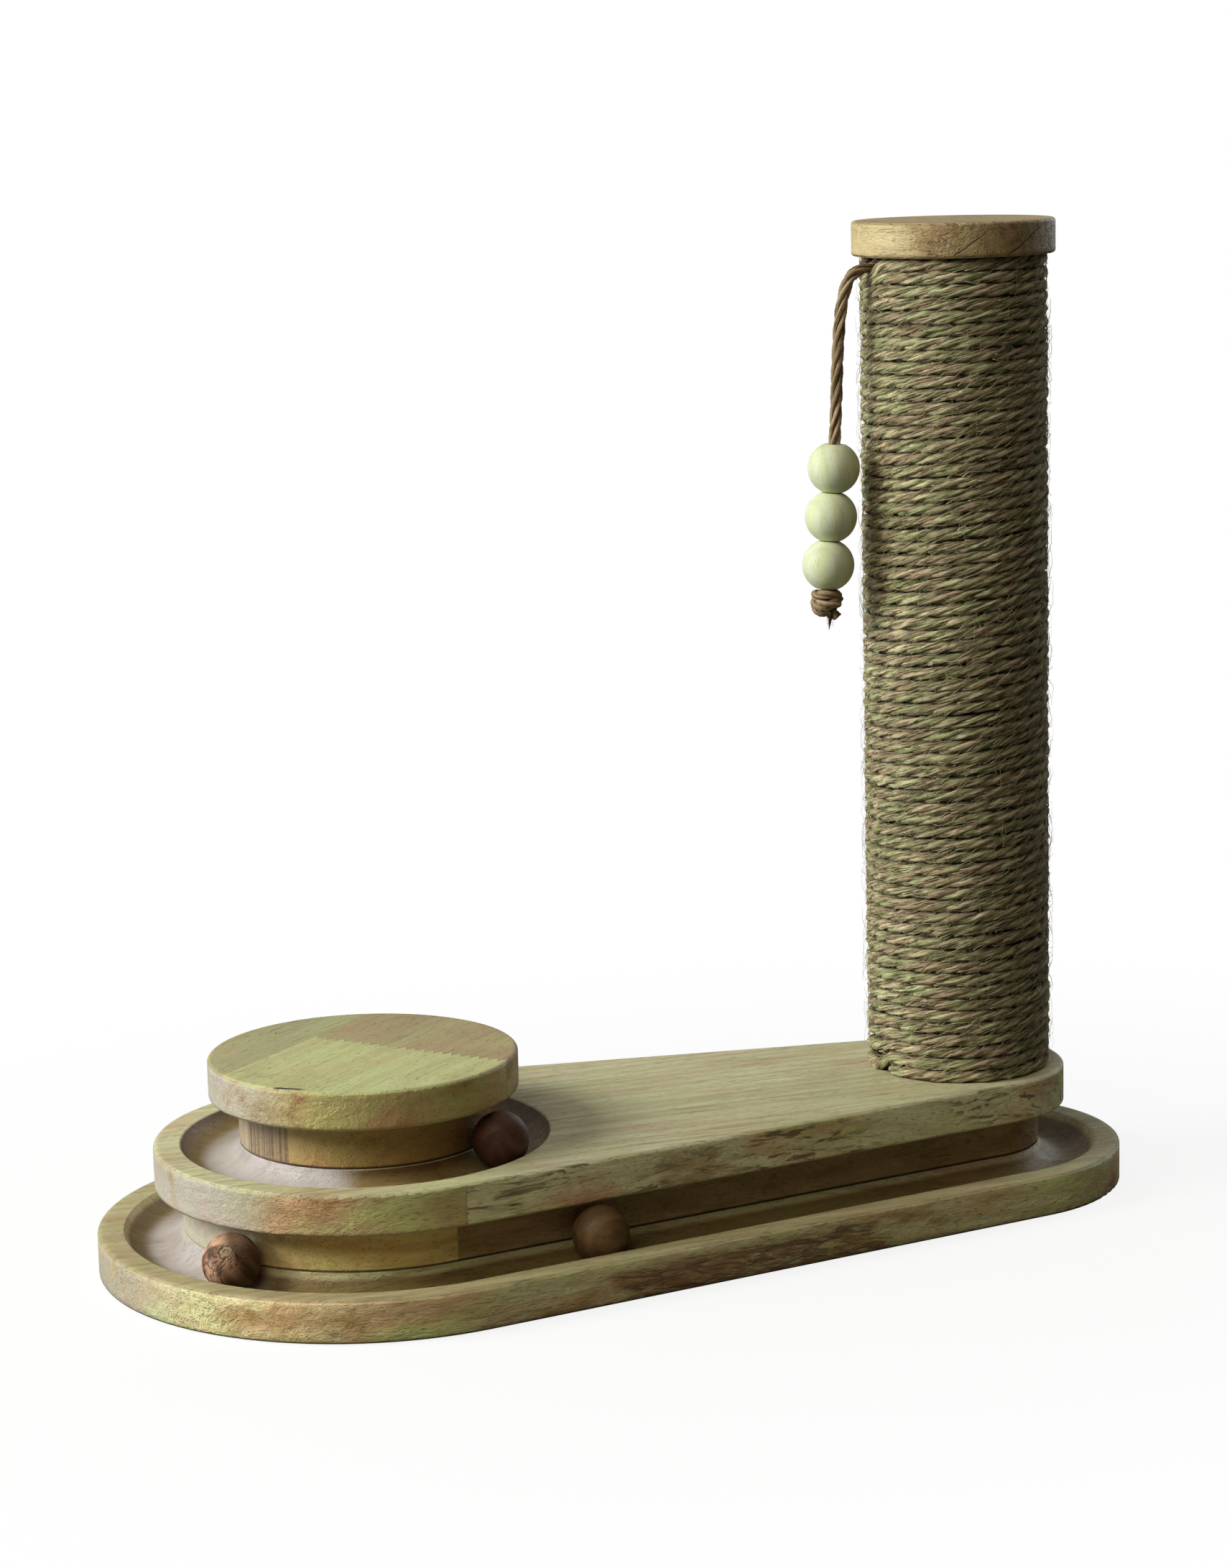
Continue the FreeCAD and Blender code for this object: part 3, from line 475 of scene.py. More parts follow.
flat_hair = []
for number in range(FLAT_FIBRES):
    long, climb = draws.uniform(5, 15) * MM, draws.normal(0.33, 0.22)
    curl, thickness = draws.normal(0.0, 0.5 * MM), draws.uniform(0.2, 0.55) * MM
    flat_hair.append(rope_hair(FLAT_HEAD, long, 1.0, climb, 0.0, curl, thickness,
                               200 + 0.37 * number))
lifted_hair = []
for number in range(LIFTED_FIBRES):
    long = (draws.gamma(3.0, 1.7) + 1.5) * MM
    way, climb = draws.choice([-1.0, 1.0]), draws.normal(0.1, 0.6)
    if number % 4 == 0:
        long, way = draws.uniform(7, 17) * MM, draws.normal(0.0, 0.25)
        climb = draws.choice([-1.0, 1.0])
    lift = min(draws.gamma(2.0, 0.16), 0.9) * long
    curl, thickness = draws.normal(0.0, 0.9 * MM), draws.uniform(0.12, 0.26) * MM
    lifted_hair.append(rope_hair(LIFTED_HEAD, long, way, climb, lift, curl, thickness,
                                 0.41 * number))
hair_pieces = []
for name, tubes in (("rope_flat_hair", flat_hair), ("rope_lifted_hair", lifted_hair)):
    piece = tube_piece(name, tubes)
    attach(piece, "stand")
    hair_pieces.append(piece)
    print(name, "of", len(tubes), "fibres,", len(piece.data.polygons), "faces")

# %% [markdown]
# ## Node helpers
# A material is a small net of nodes. These helpers add one node at a time to the net in hand: a
# value that is a socket is wired in, and anything else is set as a plain number or colour.

# %% Helpers for nodes
net = None


def take_up(tree):
    """Makes a tree the net in hand."""
    global net
    net = tree
    return tree


def set_inputs(node, inputs):
    for name, value in inputs.items():
        if isinstance(value, bpy.types.NodeSocket):
            net.links.new(value, node.inputs[name])
        else:
            node.inputs[name].default_value = value


def add_node(kind, inputs=None, **settings):
    node = net.nodes.new(kind)
    for name, value in settings.items():
        setattr(node, name, value)
    set_inputs(node, inputs or {})
    return node


def calc(operation, *values, clamp=False):
    inputs = dict(enumerate(values))
    return add_node("ShaderNodeMath", inputs, operation=operation, use_clamp=clamp).outputs[0]


def times(value, *others):
    for other in others:
        value = calc("MULTIPLY", value, other)
    return value


def scaled(value, factor, start):
    """start + factor * value"""
    return calc("MULTIPLY_ADD", value, factor, start)


def shaken(value, shake, amount):
    """A value moved to and fro by a noise."""
    return scaled(calc("SUBTRACT", shake, 0.5), amount, value)


def between(value, low, high):
    """0 at low, 1 at high, and smooth between them; low may be the greater one."""
    inputs = {"Value": value, "From Min": low, "From Max": high}
    return add_node("ShaderNodeMapRange", inputs, interpolation_type="SMOOTHSTEP").outputs[0]


def band(value, low, high, soft):
    """1 from low to high and 0 outside, with soft ends outside low and inside high."""
    rise = between(value, low - soft, low)
    return times(rise, between(value, high, high - soft))


print("helpers for nodes")

# %% [markdown]
# Places are vectors. Noise is asked for at a place that is stretched by its own scale along each
# axis, because everything here is longer one way than the other.

# %% Helpers for places and colours


def vector_calc(operation, *values, output=0):
    inputs = dict(enumerate(values))
    return add_node("ShaderNodeVectorMath", inputs, operation=operation).outputs[output]


def stretch(vector, scale):
    return vector_calc("MULTIPLY", vector, scale)


def split(vector):
    return add_node("ShaderNodeSeparateXYZ", {0: vector}).outputs


def joined(*values):
    return add_node("ShaderNodeCombineXYZ", dict(enumerate(values))).outputs[0]


def object_place():
    return add_node("ShaderNodeTexCoord").outputs["Object"]


def noise(place, scale, detail=2.0, roughness=0.5, distortion=0.0, output=0):
    inputs = {"Vector": stretch(place, scale), "Scale": 1.0, "Detail": detail,
              "Roughness": roughness, "Distortion": distortion}
    return add_node("ShaderNodeTexNoise", inputs).outputs[output]


def mixed(share, first, second, way="MIX"):
    inputs = {0: share, 6: first, 7: second}
    return add_node("ShaderNodeMix", inputs, data_type="RGBA", blend_type=way).outputs[2]


def colour(red, green, blue):
    return (red, green, blue, 1.0)


print("helpers for places and colours")

# %% [markdown]
# A group is a net of its own with named sockets, so that several materials can share an effect.

# %% Helpers for groups and materials


def socket_kind(is_vector):
    return "NodeSocketVector" if is_vector else "NodeSocketFloat"


def new_group(name, inputs):
    """An empty shader group with named inputs and their first values: the tree and its inputs."""
    tree = take_up(bpy.data.node_groups.new(name, "ShaderNodeTree"))
    for label, value in inputs.items():
        kind = socket_kind(isinstance(value, tuple))
        tree.interface.new_socket(label, in_out="INPUT", socket_type=kind).default_value = value
    return tree, tree.nodes.new("NodeGroupInput").outputs


def put_out(outputs):
    """Gives the group in hand its named outputs."""
    for label, socket in outputs.items():
        kind = socket_kind(socket.type == "VECTOR")
        net.interface.new_socket(label, in_out="OUTPUT", socket_type=kind)
    add_node("NodeGroupOutput", outputs)
    print("group", net.name, "with", len(net.nodes), "nodes")


def use_group(group, inputs):
    return add_node("ShaderNodeGroup", inputs, node_tree=group).outputs


def new_material(name):
    material = bpy.data.materials.new(name)
    material.use_nodes = True
    return material, take_up(material.node_tree).nodes["Principled BSDF"]


def dress(names, material):
    for name in names:
        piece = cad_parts[name]
        if not piece.material_slots:
            piece.data.materials.append(material)
        for slot in piece.material_slots:
            slot.material = material


print("helpers for groups and materials")

# %% [markdown]
# ## Glued staves
# The boards are panels, glued up from staves that are finger-jointed end to end. Instead of
# cutting the mesh, this group works out from a point's place which stave it is in: rows across
# the board, and joints along each row, with a zigzag edge. Every stave then gets its own piece of
# the grain, and the thin glue lines are a mask.

# %% Group: glued staves
staves, given = new_group("glued_staves", {
    "Position": (0, 0, 0), "Stave Width": 0.045, "Stave Length": 0.3, "Row Start": 0.0,
    "Joint Start": 0.0, "Row Shift": 0.11, "Finger Pitch": 0.004, "Finger Reach": 0.003,
    "Seed": 0.0})
place = split(given["Position"])
rows = calc("SUBTRACT", place[1], given["Row Start"])
rows = calc("DIVIDE", rows, given["Stave Width"])
row = calc("FLOOR", rows)
zigzag = calc("PINGPONG", calc("DIVIDE", place[1], given["Finger Pitch"]), 0.5)
finger = times(calc("SUBTRACT", zigzag, 0.25), given["Finger Reach"])
run = calc("SUBTRACT", place[0], given["Joint Start"])
run = calc("SUBTRACT", run, times(row, given["Row Shift"]))
lengths = calc("DIVIDE", scaled(finger, 2.0, run), given["Stave Length"])
joint = calc("FLOOR", lengths)
which = joined(row, joint, given["Seed"])
chance = add_node("ShaderNodeTexWhiteNoise", {"Vector": which}).outputs["Color"]
moved = stretch(chance, (7.0, 0.09, 0.05))
row_edge = times(calc("PINGPONG", rows, 0.5), given["Stave Width"])
joint_edge = times(calc("PINGPONG", lengths, 0.5), given["Stave Length"])
nearest = calc("MINIMUM", row_edge, joint_edge)
put_out({
    "Row": row, "Joint": joint, "Grain Position": vector_calc("ADD", given["Position"], moved),
    "Glue Line": between(nearest, 0.0005, 0.00012)})

# %% [markdown]
# ## Timber
# Wood is solid all through, so its pattern is worked out in space and not on the skin: long along
# the grain and fine across it. The same group then shows streaks on a face along the grain, arcs
# and dots on an end, and cathedral arches on a slanting cut, as a saw would find them. `Blemish`
# says how much of the surface is rustic, with long open checks.

# %% Group: timber
timber, given = new_group("timber", {
    "Position": (0, 0, 0), "Ring Spacing": 0.007, "Wave": 0.012, "Blemish": 0.3})
place = given["Position"]
bend = noise(place, (7.0, 28.0, 28.0), output="Color")
bend = vector_calc("SUBTRACT", bend, (0.5, 0.5, 0.5))
wavy = vector_calc("ADD", place, stretch(bend, given["Wave"]))
pith = vector_calc("SUBTRACT", stretch(wavy, (0.0, 1.0, 1.0)), (0.0, -0.02, 0.06))
ring_radius = vector_calc("LENGTH", pith, output="Value")
ring_turn = calc("DIVIDE", times(ring_radius, FULL_TURN), given["Ring Spacing"])
rings = calc("POWER", scaled(calc("SINE", ring_turn), 0.5, 0.5), 2.5)
figure = noise(wavy, (8.0, 95.0, 95.0), 5.0, 0.62)
streaks = noise(wavy, (6.0, 310.0, 310.0), 3.0, 0.6)
pores = between(noise(wavy, (210.0, 1700.0, 1700.0), 1.0), 0.60, 0.72)
fibres = noise(wavy, (50.0, 2600.0, 2600.0))
patch = between(noise(place, (16.0, 40.0, 40.0)), 0.40, 0.62)
patch = times(patch, given["Blemish"])
cracks = between(noise(wavy, (20.0, 420.0, 420.0), 4.0, 0.62, 0.7), 0.52, 0.62)
cracks = calc("MULTIPLY", cracks, patch, clamp=True)
stain = noise(place, (20.0, 46.0, 46.0), 4.0, 0.65)
hue = noise(place, (17.0, 38.0, 38.0), 3.0)
blotch = noise(wavy, (17.0, 42.0, 42.0), 4.0, 0.65)
height = scaled(fibres, 0.3, times(rings, 0.08))
height = scaled(pores, -0.5, height)
height = scaled(cracks, -2.2, height)
put_out({
    "Figure": between(calc("ADD", figure, streaks), 0.76, 1.24),
    "Rings": rings, "Pores": pores, "Cracks": cracks,
    "Stain": between(stain, 0.38, 0.66),
    "Hue": between(hue, 0.38, 0.62),
    "Blotch": between(blotch, 0.52, 0.74),
    "Dents": noise(wavy, (110.0, 300.0, 300.0), 4.0, 0.65), "Height": height})

# %% [markdown]
# ## Seams and checks
# Where one board stands on another, a fine dark line shows. The gap itself is too thin to see, so
# a group darkens the foot of the upper board, fading out within a millimetre and a half. A second
# group draws a single drying check: a short slit that starts at its position's origin and runs
# along X.

# %% Groups: seam and drying check
seam, given = new_group("seam", {"Position": (0, 0, 0), "Level": 0.0, "Thickness": 0.0014})
rise = calc("SUBTRACT", split(given["Position"])[2], given["Level"])
inner = times(given["Thickness"], 0.4)
put_out({"Line": between(calc("ABSOLUTE", rise), given["Thickness"], inner)})

check, given = new_group("drying_check", {
    "Position": (0, 0, 0), "Length": 0.013, "Half Width": 0.0011})
place = split(given["Position"])
ragged = noise(given["Position"], (260.0, 260.0, 260.0))
aside = calc("ABSOLUTE", shaken(place[1], ragged, 0.0014))
thin = between(aside, given["Half Width"], times(given["Half Width"], 0.4))
begun = between(place[0], 0.0, 0.002)
going_on = between(place[0], given["Length"], times(given["Length"], 0.6))
near = between(calc("ABSOLUTE", place[2]), 0.003, 0.0022)
put_out({"Slit": times(thin, begun, going_on, near)})

# %% [markdown]
# ## The finish of wood
# Every wooden surface has the same last step. The bevel node turns the normals near an edge, so
# that edges look eased by hand. Where the crisp mask is 1, they stay as sharp as they were cut.

# %% Finish of wood
EASED = 0.0028
WIDE_END = (-0.1175, 0.0, 0.0)


def grain_space(origin, turn_deg):
    """A point's place on the part, and the same from an origin with X turned along the grain."""
    place = object_place()
    turn = [math.radians(angle) for angle in turn_deg]
    inputs = {"Vector": place, "Location": origin, "Rotation": turn}
    return place, add_node("ShaderNodeMapping", inputs, vector_type="TEXTURE").outputs[0]


def finish_wood(shader, tint, grain, height, roughness, relief, shine=0.5, crisp=None,
                eased=EASED):
    """Wires colour, roughness and relief of a timber surface into its shader."""
    rough = scaled(grain["Figure"], 0.1, roughness)
    normal = add_node("ShaderNodeBevel", {"Radius": eased}, samples=4).outputs[0]
    if crisp:
        inputs = {0: crisp, 4: normal, 5: add_node("ShaderNodeNewGeometry").outputs["Normal"]}
        normal = add_node("ShaderNodeMix", inputs, data_type="VECTOR").outputs[1]
    bump = add_node("ShaderNodeBump", {
        "Strength": 0.6, "Distance": relief, "Height": height, "Normal": normal})
    set_inputs(shader, {"Base Color": tint, "Roughness": scaled(grain["Pores"], 0.15, rough),
                        "Normal": bump.outputs[0], "Specular IOR Level": shine})


print("finish of wood")

# %% [markdown]
# ## Marks on the boards
# Some marks belong to one board only. A figured length of a side has feathery, slanting streaks
# of a darker wood. A slit is a drying check at a place of its own. A track is darkened by painted
# shade, its steep walls most of all, but at the left end it is painted pale, which is a painted
# highlight where the window falls and also paler wood.

# %% Marks on boards
# Painted highlight and paler wood, at the left end of the tracks.
TRACK_PALE_WOOD_AND_HIGHLIGHT = colour(0.50, 0.44, 0.43)
SEAM_DARK = colour(0.02, 0.012, 0.007)


def figured_length(along, spot, side, first, last, top):
    """Mask of a length of the sides from first to last along X, with ragged ends, up to top."""
    ragged = shaken(spot[0], noise(along, (22.0, 60.0, 60.0), 3.0), 0.09)
    below = between(spot[2], top, top - 0.005)
    return times(band(ragged, first, last, 0.012), side, below)


def feathers(spot):
    """Slanting streaks on the front, never quite gone."""
    slant = joined(scaled(spot[2], -140.0 / 45.0, spot[0]), scaled(spot[2], 420.0 / 80.0, spot[0]))
    streaks = noise(slant, (45.0, 80.0, 1.0), 4.0, 0.6, 0.8)
    return scaled(between(streaks, 0.35, 0.6), 0.65, 0.35)


def cut_slits(tint, height, slits):
    """Colour and height with slits, each an origin, a turn, a length, a half width and a share."""
    for origin, turn_deg, length, half_width, share in slits:
        slit = use_group(check, {"Position": grain_space(origin, turn_deg)[1], "Length": length,
                                 "Half Width": half_width})["Slit"]
        slit = times(slit, share)
        tint = mixed(slit, tint, SEAM_DARK)
        height = scaled(slit, -2.0, height)
    return tint, height


def rolled_track(tint, place, facing, stain, low, high, soft, radius, painted_shading, wall_painted_shading,
                 pale_until_x, pale_rise, crisp_within, ring=False):
    """Colour with the ball track between two levels, and the mask of crisp edges.

    The track is darkened by painted shade, its steep walls most of all. Up to pale_until_x, inside
    a radius round the wide end and a little above its upper level, it is painted pale: a painted
    highlight where the window falls, and paler wood. A ring goes right round the wide end and no
    farther.
    """
    spot = split(place)
    flat = stretch(vector_calc("SUBTRACT", place, WIDE_END), (1.0, 1.0, 0.0))
    out = vector_calc("LENGTH", flat, output="Value")
    crisp = between(out, crisp_within + 0.002, crisp_within)
    inside = band(spot[2], low, high, soft)
    if ring:
        inside = times(inside, crisp)
    inside = times(inside, between(facing, 0.04, 0.12))
    # Painted shade: the inside of the track is darkened, its steep walls most of all.
    tint = mixed(inside, tint, painted_shading, "MULTIPLY")
    steep = times(inside, between(facing, 0.85, 0.5))
    tint = mixed(steep, tint, wall_painted_shading, "MULTIPLY")
    # Painted highlight and paler wood: the track is paler towards its left end.
    pale_wood_and_highlight = times(band(spot[2], low, high + pale_rise, 0.0002),
                 between(out, radius + 0.006, radius),
                 between(spot[0], pale_until_x + 0.004, pale_until_x - 0.01),
                 scaled(stain, -0.35, 1.0))
    return mixed(pale_wood_and_highlight, tint, TRACK_PALE_WOOD_AND_HIGHLIGHT), crisp


print("marks for boards")

# %% [markdown]
# ## The boards
# The boards are pale, oiled timber: straw-coloured, with greener, pinker and browner patches. One
# function builds the material, and each board gives it its own layout and marks. A mark says that
# a stave in some row and joint is of another wood, and whether it is rustic. Sides and planed
# faces get tints of their own, which are painted light and shade for how the lamps fall on them.
# The turned necks get painted shade under their overhangs, and painted light at the deck neck's
# left end. The left ends of the sides, where the window falls, are painted paler as a highlight.

# %% Board material
WHITE = colour(1.0, 1.0, 1.0)
PALE = colour(0.65, 0.58, 0.36)
STRAW = colour(0.46, 0.355, 0.165)
GREEN_CAST = colour(0.55, 0.58, 0.235)
PINK_CAST = colour(0.60, 0.36, 0.215)
BLOTCH_BROWN = colour(0.31, 0.175, 0.06)
RING_BROWN = colour(0.34, 0.21, 0.085)
PORE_BROWN = colour(0.17, 0.095, 0.04)
CRACK_BROWN = colour(0.14, 0.075, 0.036)
GLUE_BROWN = colour(0.20, 0.11, 0.05)
CRACK_SHARE = 0.85
BOARD_ROUGHNESS = 0.42
BOARD_RELIEF = 0.0009


def board_material(name, origin, angle, layout, blemish, side_painted_shading, painted_light_end, top_painted_shading=WHITE,
                   rings=0.22, glue=0.35, pores=0.45, marks=(), figured=None, slits=(), recess=None,
                   track=None, seam_level=None, eased=EASED):
    """Glued-up board: staves, timber, glue lines, marks, painted light and shade, and a seam.

    painted_light_end: the sides are painted paler up to X, a painted highlight where the window
    falls, in this colour
    marks: row, joint, wood, share, rustic share, share on planed faces, for each stave
    figured: reach of a figured length of the sides, its wood, share and rustic share
    recess: the levels of a neck, its painted shading, painted shading on the right, and where along
    X the two meet
    It gives the material and its shader, and the place and colour that more can be put on.
    """
    material, shader = new_material(name)
    place, along = grain_space(origin, (0, 0, angle))
    spot = split(place)
    normal = add_node("ShaderNodeTexCoord").outputs["Normal"]
    facing = calc("ABSOLUTE", split(normal)[2])
    side = between(facing, 0.75, 0.25)
    lively = scaled(side, 0.6, 0.35)
    marked = side
    if recess:
        recessed = band(spot[2], *recess["levels"], 0.0006)
        lively = times(lively, scaled(recessed, -0.6, 1.0))
        marked = times(side, calc("SUBTRACT", 1.0, recessed))

    stave = use_group(staves, {"Position": along, **layout})
    woods = []
    for row, joint, wood, share, rustic, planed in marks:
        mask = times(calc("COMPARE", stave["Row"], row, 0.1),
                     calc("COMPARE", stave["Joint"], joint, 0.1),
                     scaled(marked, 1.0 - planed, planed))
        woods.append((times(mask, share), wood))
        blemish = scaled(mask, rustic, blemish)
    if figured:
        feathered = figured_length(along, spot, side, *figured["reach"])
        blemish = scaled(feathered, figured["rustic"], blemish)

    grain = use_group(timber, {"Position": stave["Grain Position"], "Blemish": blemish})
    streaky = times(grain["Figure"], scaled(side, 0.25, 0.55))
    tint = mixed(streaky, PALE, STRAW)
    woods += [(times(grain["Stain"], lively), mixed(grain["Hue"], GREEN_CAST, PINK_CAST)),
              (times(grain["Blotch"], lively), BLOTCH_BROWN)]
    if figured:
        feathered = times(feathered, feathers(spot), figured["share"])
        woods.append((feathered, figured["wood"]))
    for mask, share, wood in (
            (grain["Rings"], rings, RING_BROWN), (grain["Pores"], pores, PORE_BROWN),
            (grain["Cracks"], CRACK_SHARE, CRACK_BROWN), (stave["Glue Line"], glue, GLUE_BROWN)):
        woods.append((times(mask, share), wood))
    for mask, wood in woods:
        tint = mixed(mask, tint, wood)
    height = scaled(grain["Dents"], times(side, 1.9), grain["Height"])
    tint, height = cut_slits(tint, height, slits)

    # Painted light and shade: tops and sides get tints of their own for how the lamps fall on them.
    tint = stretch(tint, mixed(side, top_painted_shading, side_painted_shading))
    # Painted shade on the neck under its overhang, darker towards the right; on the deck's neck
    # left of the joint it is painted light.
    if recess:
        painted_shading = mixed(between(spot[0], *recess["meet"]), recess["painted_shading"], recess["right_painted_shading"])
        tint = mixed(recessed, tint, painted_shading, "MULTIPLY")
    # Painted highlight: the sides are paler towards the left end, where the window falls.
    limit, wood = painted_light_end
    pale = times(between(spot[0], limit, limit - 0.03), scaled(grain["Blotch"], -0.6, 0.85))
    tint = mixed(times(pale, side), tint, wood)
    crisp = None
    if track:
        tint, crisp = rolled_track(tint, place, facing, grain["Stain"], **track)
    if seam_level is not None:
        line = use_group(seam, {"Position": place, "Level": seam_level})["Line"]
        tint = mixed(times(line, scaled(pale, -0.7, 0.9)), tint, SEAM_DARK)
    finish_wood(shader, tint, grain, height, BOARD_ROUGHNESS, BOARD_RELIEF, crisp=crisp,
                eased=eased)
    return material, shader, place, tint


print("board material")

# %% [markdown]
# The base has a red, figured length along its front. The deck has a joint that runs through its
# overhang and its neck: warm wood on the left of it and grey, rustic wood on the right.

# %% Base and deck
# Painted highlight: the paler left ends of the sides, where the window falls.
END_PAINTED_LIGHT = colour(0.55, 0.50, 0.44)
BASE_END_PAINTED_LIGHT = colour(0.45, 0.385, 0.32)
FIGURED_RED = colour(0.20, 0.095, 0.05)
WARM_WOOD = colour(0.30, 0.21, 0.075)
GREY_WOOD = colour(0.78, 0.78, 0.50)

base_timber = board_material(
    "base_timber", (0.0, 0.0, 0.0), 0.0,
    {"Stave Width": 0.3, "Row Start": -0.15, "Joint Start": -0.4, "Stave Length": 0.8, "Seed": 3.0},
    # Painted light and shade: the side and top tints, and the paler left end of the sides.
    0.35, colour(1.68, 1.80, 1.62), (-0.205, BASE_END_PAINTED_LIGHT), top_painted_shading=colour(0.80, 0.80, 0.74),
    glue=0.12, eased=0.005,
    figured={"reach": (-0.03, 0.10, 0.0165), "wood": FIGURED_RED, "share": 0.95, "rustic": 0.5},
    slits=[((-0.1875, -0.0985, 0.018), (0, 0, -48), 0.014, 0.0012, 1.0)],
    # The track: painted shade inside, painted pale at the left end.
    track={"low": 0.009, "high": 0.0165, "soft": 0.002, "radius": 0.0911,
           "painted_shading": colour(0.45, 0.36, 0.23), "wall_painted_shading": colour(1.0, 0.75, 0.65),
           "pale_until_x": -0.178, "pale_rise": 0.002, "crisp_within": 0.1085})
dress(["base_board"], base_timber[0])

deck_timber = board_material(
    "deck_timber", (0.0, 0.0, 0.0), 0.0,
    {"Stave Width": 0.3, "Row Start": -0.15, "Joint Start": -0.102, "Stave Length": 0.36,
     "Seed": 8.0},
    # Painted light and shade: the side and top tints, and the paler left end of the sides.
    0.25, colour(1.42, 1.40, 1.32), (-0.168, END_PAINTED_LIGHT), top_painted_shading=colour(1.05, 1.13, 1.18),
    glue=0.25, seam_level=0.018,
    marks=[(0, -1, WARM_WOOD, 0.65, -0.15, 0.0), (0, 0, GREY_WOOD, 0.7, 0.8, 0.0)],
    # The neck: painted light left of the joint, painted shade and a darker stave right of it.
    recess={"levels": (0.018, 0.036), "painted_shading": colour(1.2, 1.15, 0.86),
            "right_painted_shading": colour(0.62, 0.54, 0.48), "meet": (-0.1025, -0.1015)},
    # The track: painted shade inside, painted pale at the left end.
    track={"low": 0.045, "high": 0.0538, "soft": 0.0004, "radius": 0.066,
           "painted_shading": colour(0.46, 0.35, 0.20), "wall_painted_shading": colour(0.50, 0.38, 0.32),
           "pale_until_x": -0.138, "pale_rise": 0.0005, "crisp_within": 0.083, "ring": True})
dress(["deck_board"], deck_timber[0])
print("base and deck timber")

# %% [markdown]
# The disc is made of three staves that everyone notices first: a pale green-yellow one in front,
# a reddish one behind it across a zigzag finger joint, and a grey-tan one on the left. Its neck
# has dark heartwood stripes on the left side.

# %% Disc
PALE_GREEN = colour(0.57, 0.58, 0.255)
RED_TAN = colour(0.36, 0.235, 0.115)
GREY_TAN = colour(0.36, 0.325, 0.165)
HEARTWOOD = colour(0.17, 0.095, 0.065)

disc_timber, shader, place, tint = board_material(
    "disc_timber", WIDE_END, 40.6,
    {"Stave Width": 0.4, "Row Start": 0.0325, "Joint Start": 0.2115, "Stave Length": 0.4,
     "Row Shift": 0.2, "Finger Pitch": 0.0045, "Finger Reach": 0.0045, "Seed": 1.0},
    # Painted light and shade: the side and top tints, and the paler left end of the sides.
    0.2, colour(1.12, 0.97, 0.82), (-0.155, END_PAINTED_LIGHT), top_painted_shading=colour(1.0, 1.07, 1.04),
    rings=0.14, seam_level=0.054,
    marks=[(-1, -1, PALE_GREEN, 0.75, 0.0, 1.0), (-1, 0, RED_TAN, 0.8, 0.1, 1.0),
           (0, -1, GREY_TAN, 0.75, 0.1, 1.0)],
    slits=[((-0.1675, -0.0405, 0.0899), (0, 0, -36), 0.0165, 0.0013, 1.0)],
    # The neck: painted shade under the overhang, darker towards the right.
    recess={"levels": (0.054, 0.0735), "painted_shading": colour(0.90, 0.76, 0.66),
            "right_painted_shading": colour(0.62, 0.42, 0.40), "meet": (-0.14, -0.08)})
from_axis = split(vector_calc("SUBTRACT", place, WIDE_END))
around = calc("ARCTAN2", from_axis[1], from_axis[0])
stripes = between(noise(joined(around), (34.0, 1.0, 1.0)), 0.4, 0.6)
heartwood_and_painted_shade = times(between(around, -3.05, -2.98), between(around, -2.49, -2.50),
              between(from_axis[2], 0.0735, 0.0725), scaled(stripes, 0.6, 0.3))
set_inputs(shader, {"Base Color": mixed(heartwood_and_painted_shade, tint, HEARTWOOD)})
dress(["top_disc"], disc_timber)
print("disc timber")

# %% [markdown]
# The cap is one piece of open-pored wood with two fine checks in its edge.

# %% Cap
CAP_WOOD = colour(0.63, 0.43, 0.19)
# Painted highlight on the cap's left side, where the window falls.
CAP_END_PAINTED_LIGHT = colour(0.70, 0.57, 0.29)

cap_timber = board_material(
    "cap_timber", (0.1605, 0.0, 0.4), 118.0,
    {"Stave Width": 0.4, "Row Start": -0.2, "Joint Start": -0.2, "Stave Length": 0.8,
     "Row Shift": 0.2, "Seed": 5.0},
    # Painted light and shade: the side tint, and the paler left end of the sides.
    0.7, colour(0.84, 0.80, 0.76), (0.142, CAP_END_PAINTED_LIGHT), rings=0.4, pores=0.9,
    marks=[(0, 0, CAP_WOOD, 0.6, 0.0, 1.0)],
    slits=[((0.1419, -0.0399, 0.4150), (90, -34, -19.5), 0.019, 0.0004, 0.7),
           ((0.1662, -0.0436, 0.4150), (90, -31.5, 15), 0.026, 0.0005, 0.7)])
dress(["post_cap", "post_plug"], cap_timber[0])
print("cap timber")

# %% [markdown]
# ## Balls and beads
# The balls are dark, oiled hardwood and the beads are bare, pale wood. Both are turned from one
# piece, so there are no staves: the grain runs straight through, at a different angle in each.
# The left ball is the rough one, with open checks and a pale chip.

# %% Ball and bead materials
# Each wood is its light, middle and dark colour.
DARK_RED = (colour(0.135, 0.056, 0.035), colour(0.085, 0.036, 0.022), colour(0.04, 0.018, 0.012))
WALNUT = (colour(0.20, 0.11, 0.043), colour(0.125, 0.064, 0.025), colour(0.07, 0.036, 0.015))
RED_BROWN = (colour(0.70, 0.42, 0.28), colour(0.33, 0.165, 0.09), colour(0.08, 0.04, 0.02))
BEAD_WOOD = (colour(0.74, 0.78, 0.58), colour(0.70, 0.75, 0.45), colour(0.50, 0.48, 0.27))
CHIP_PALE = colour(0.33, 0.24, 0.135)
TURNED_ROUGHNESS = 0.5
TURNED_SHINE = 0.3


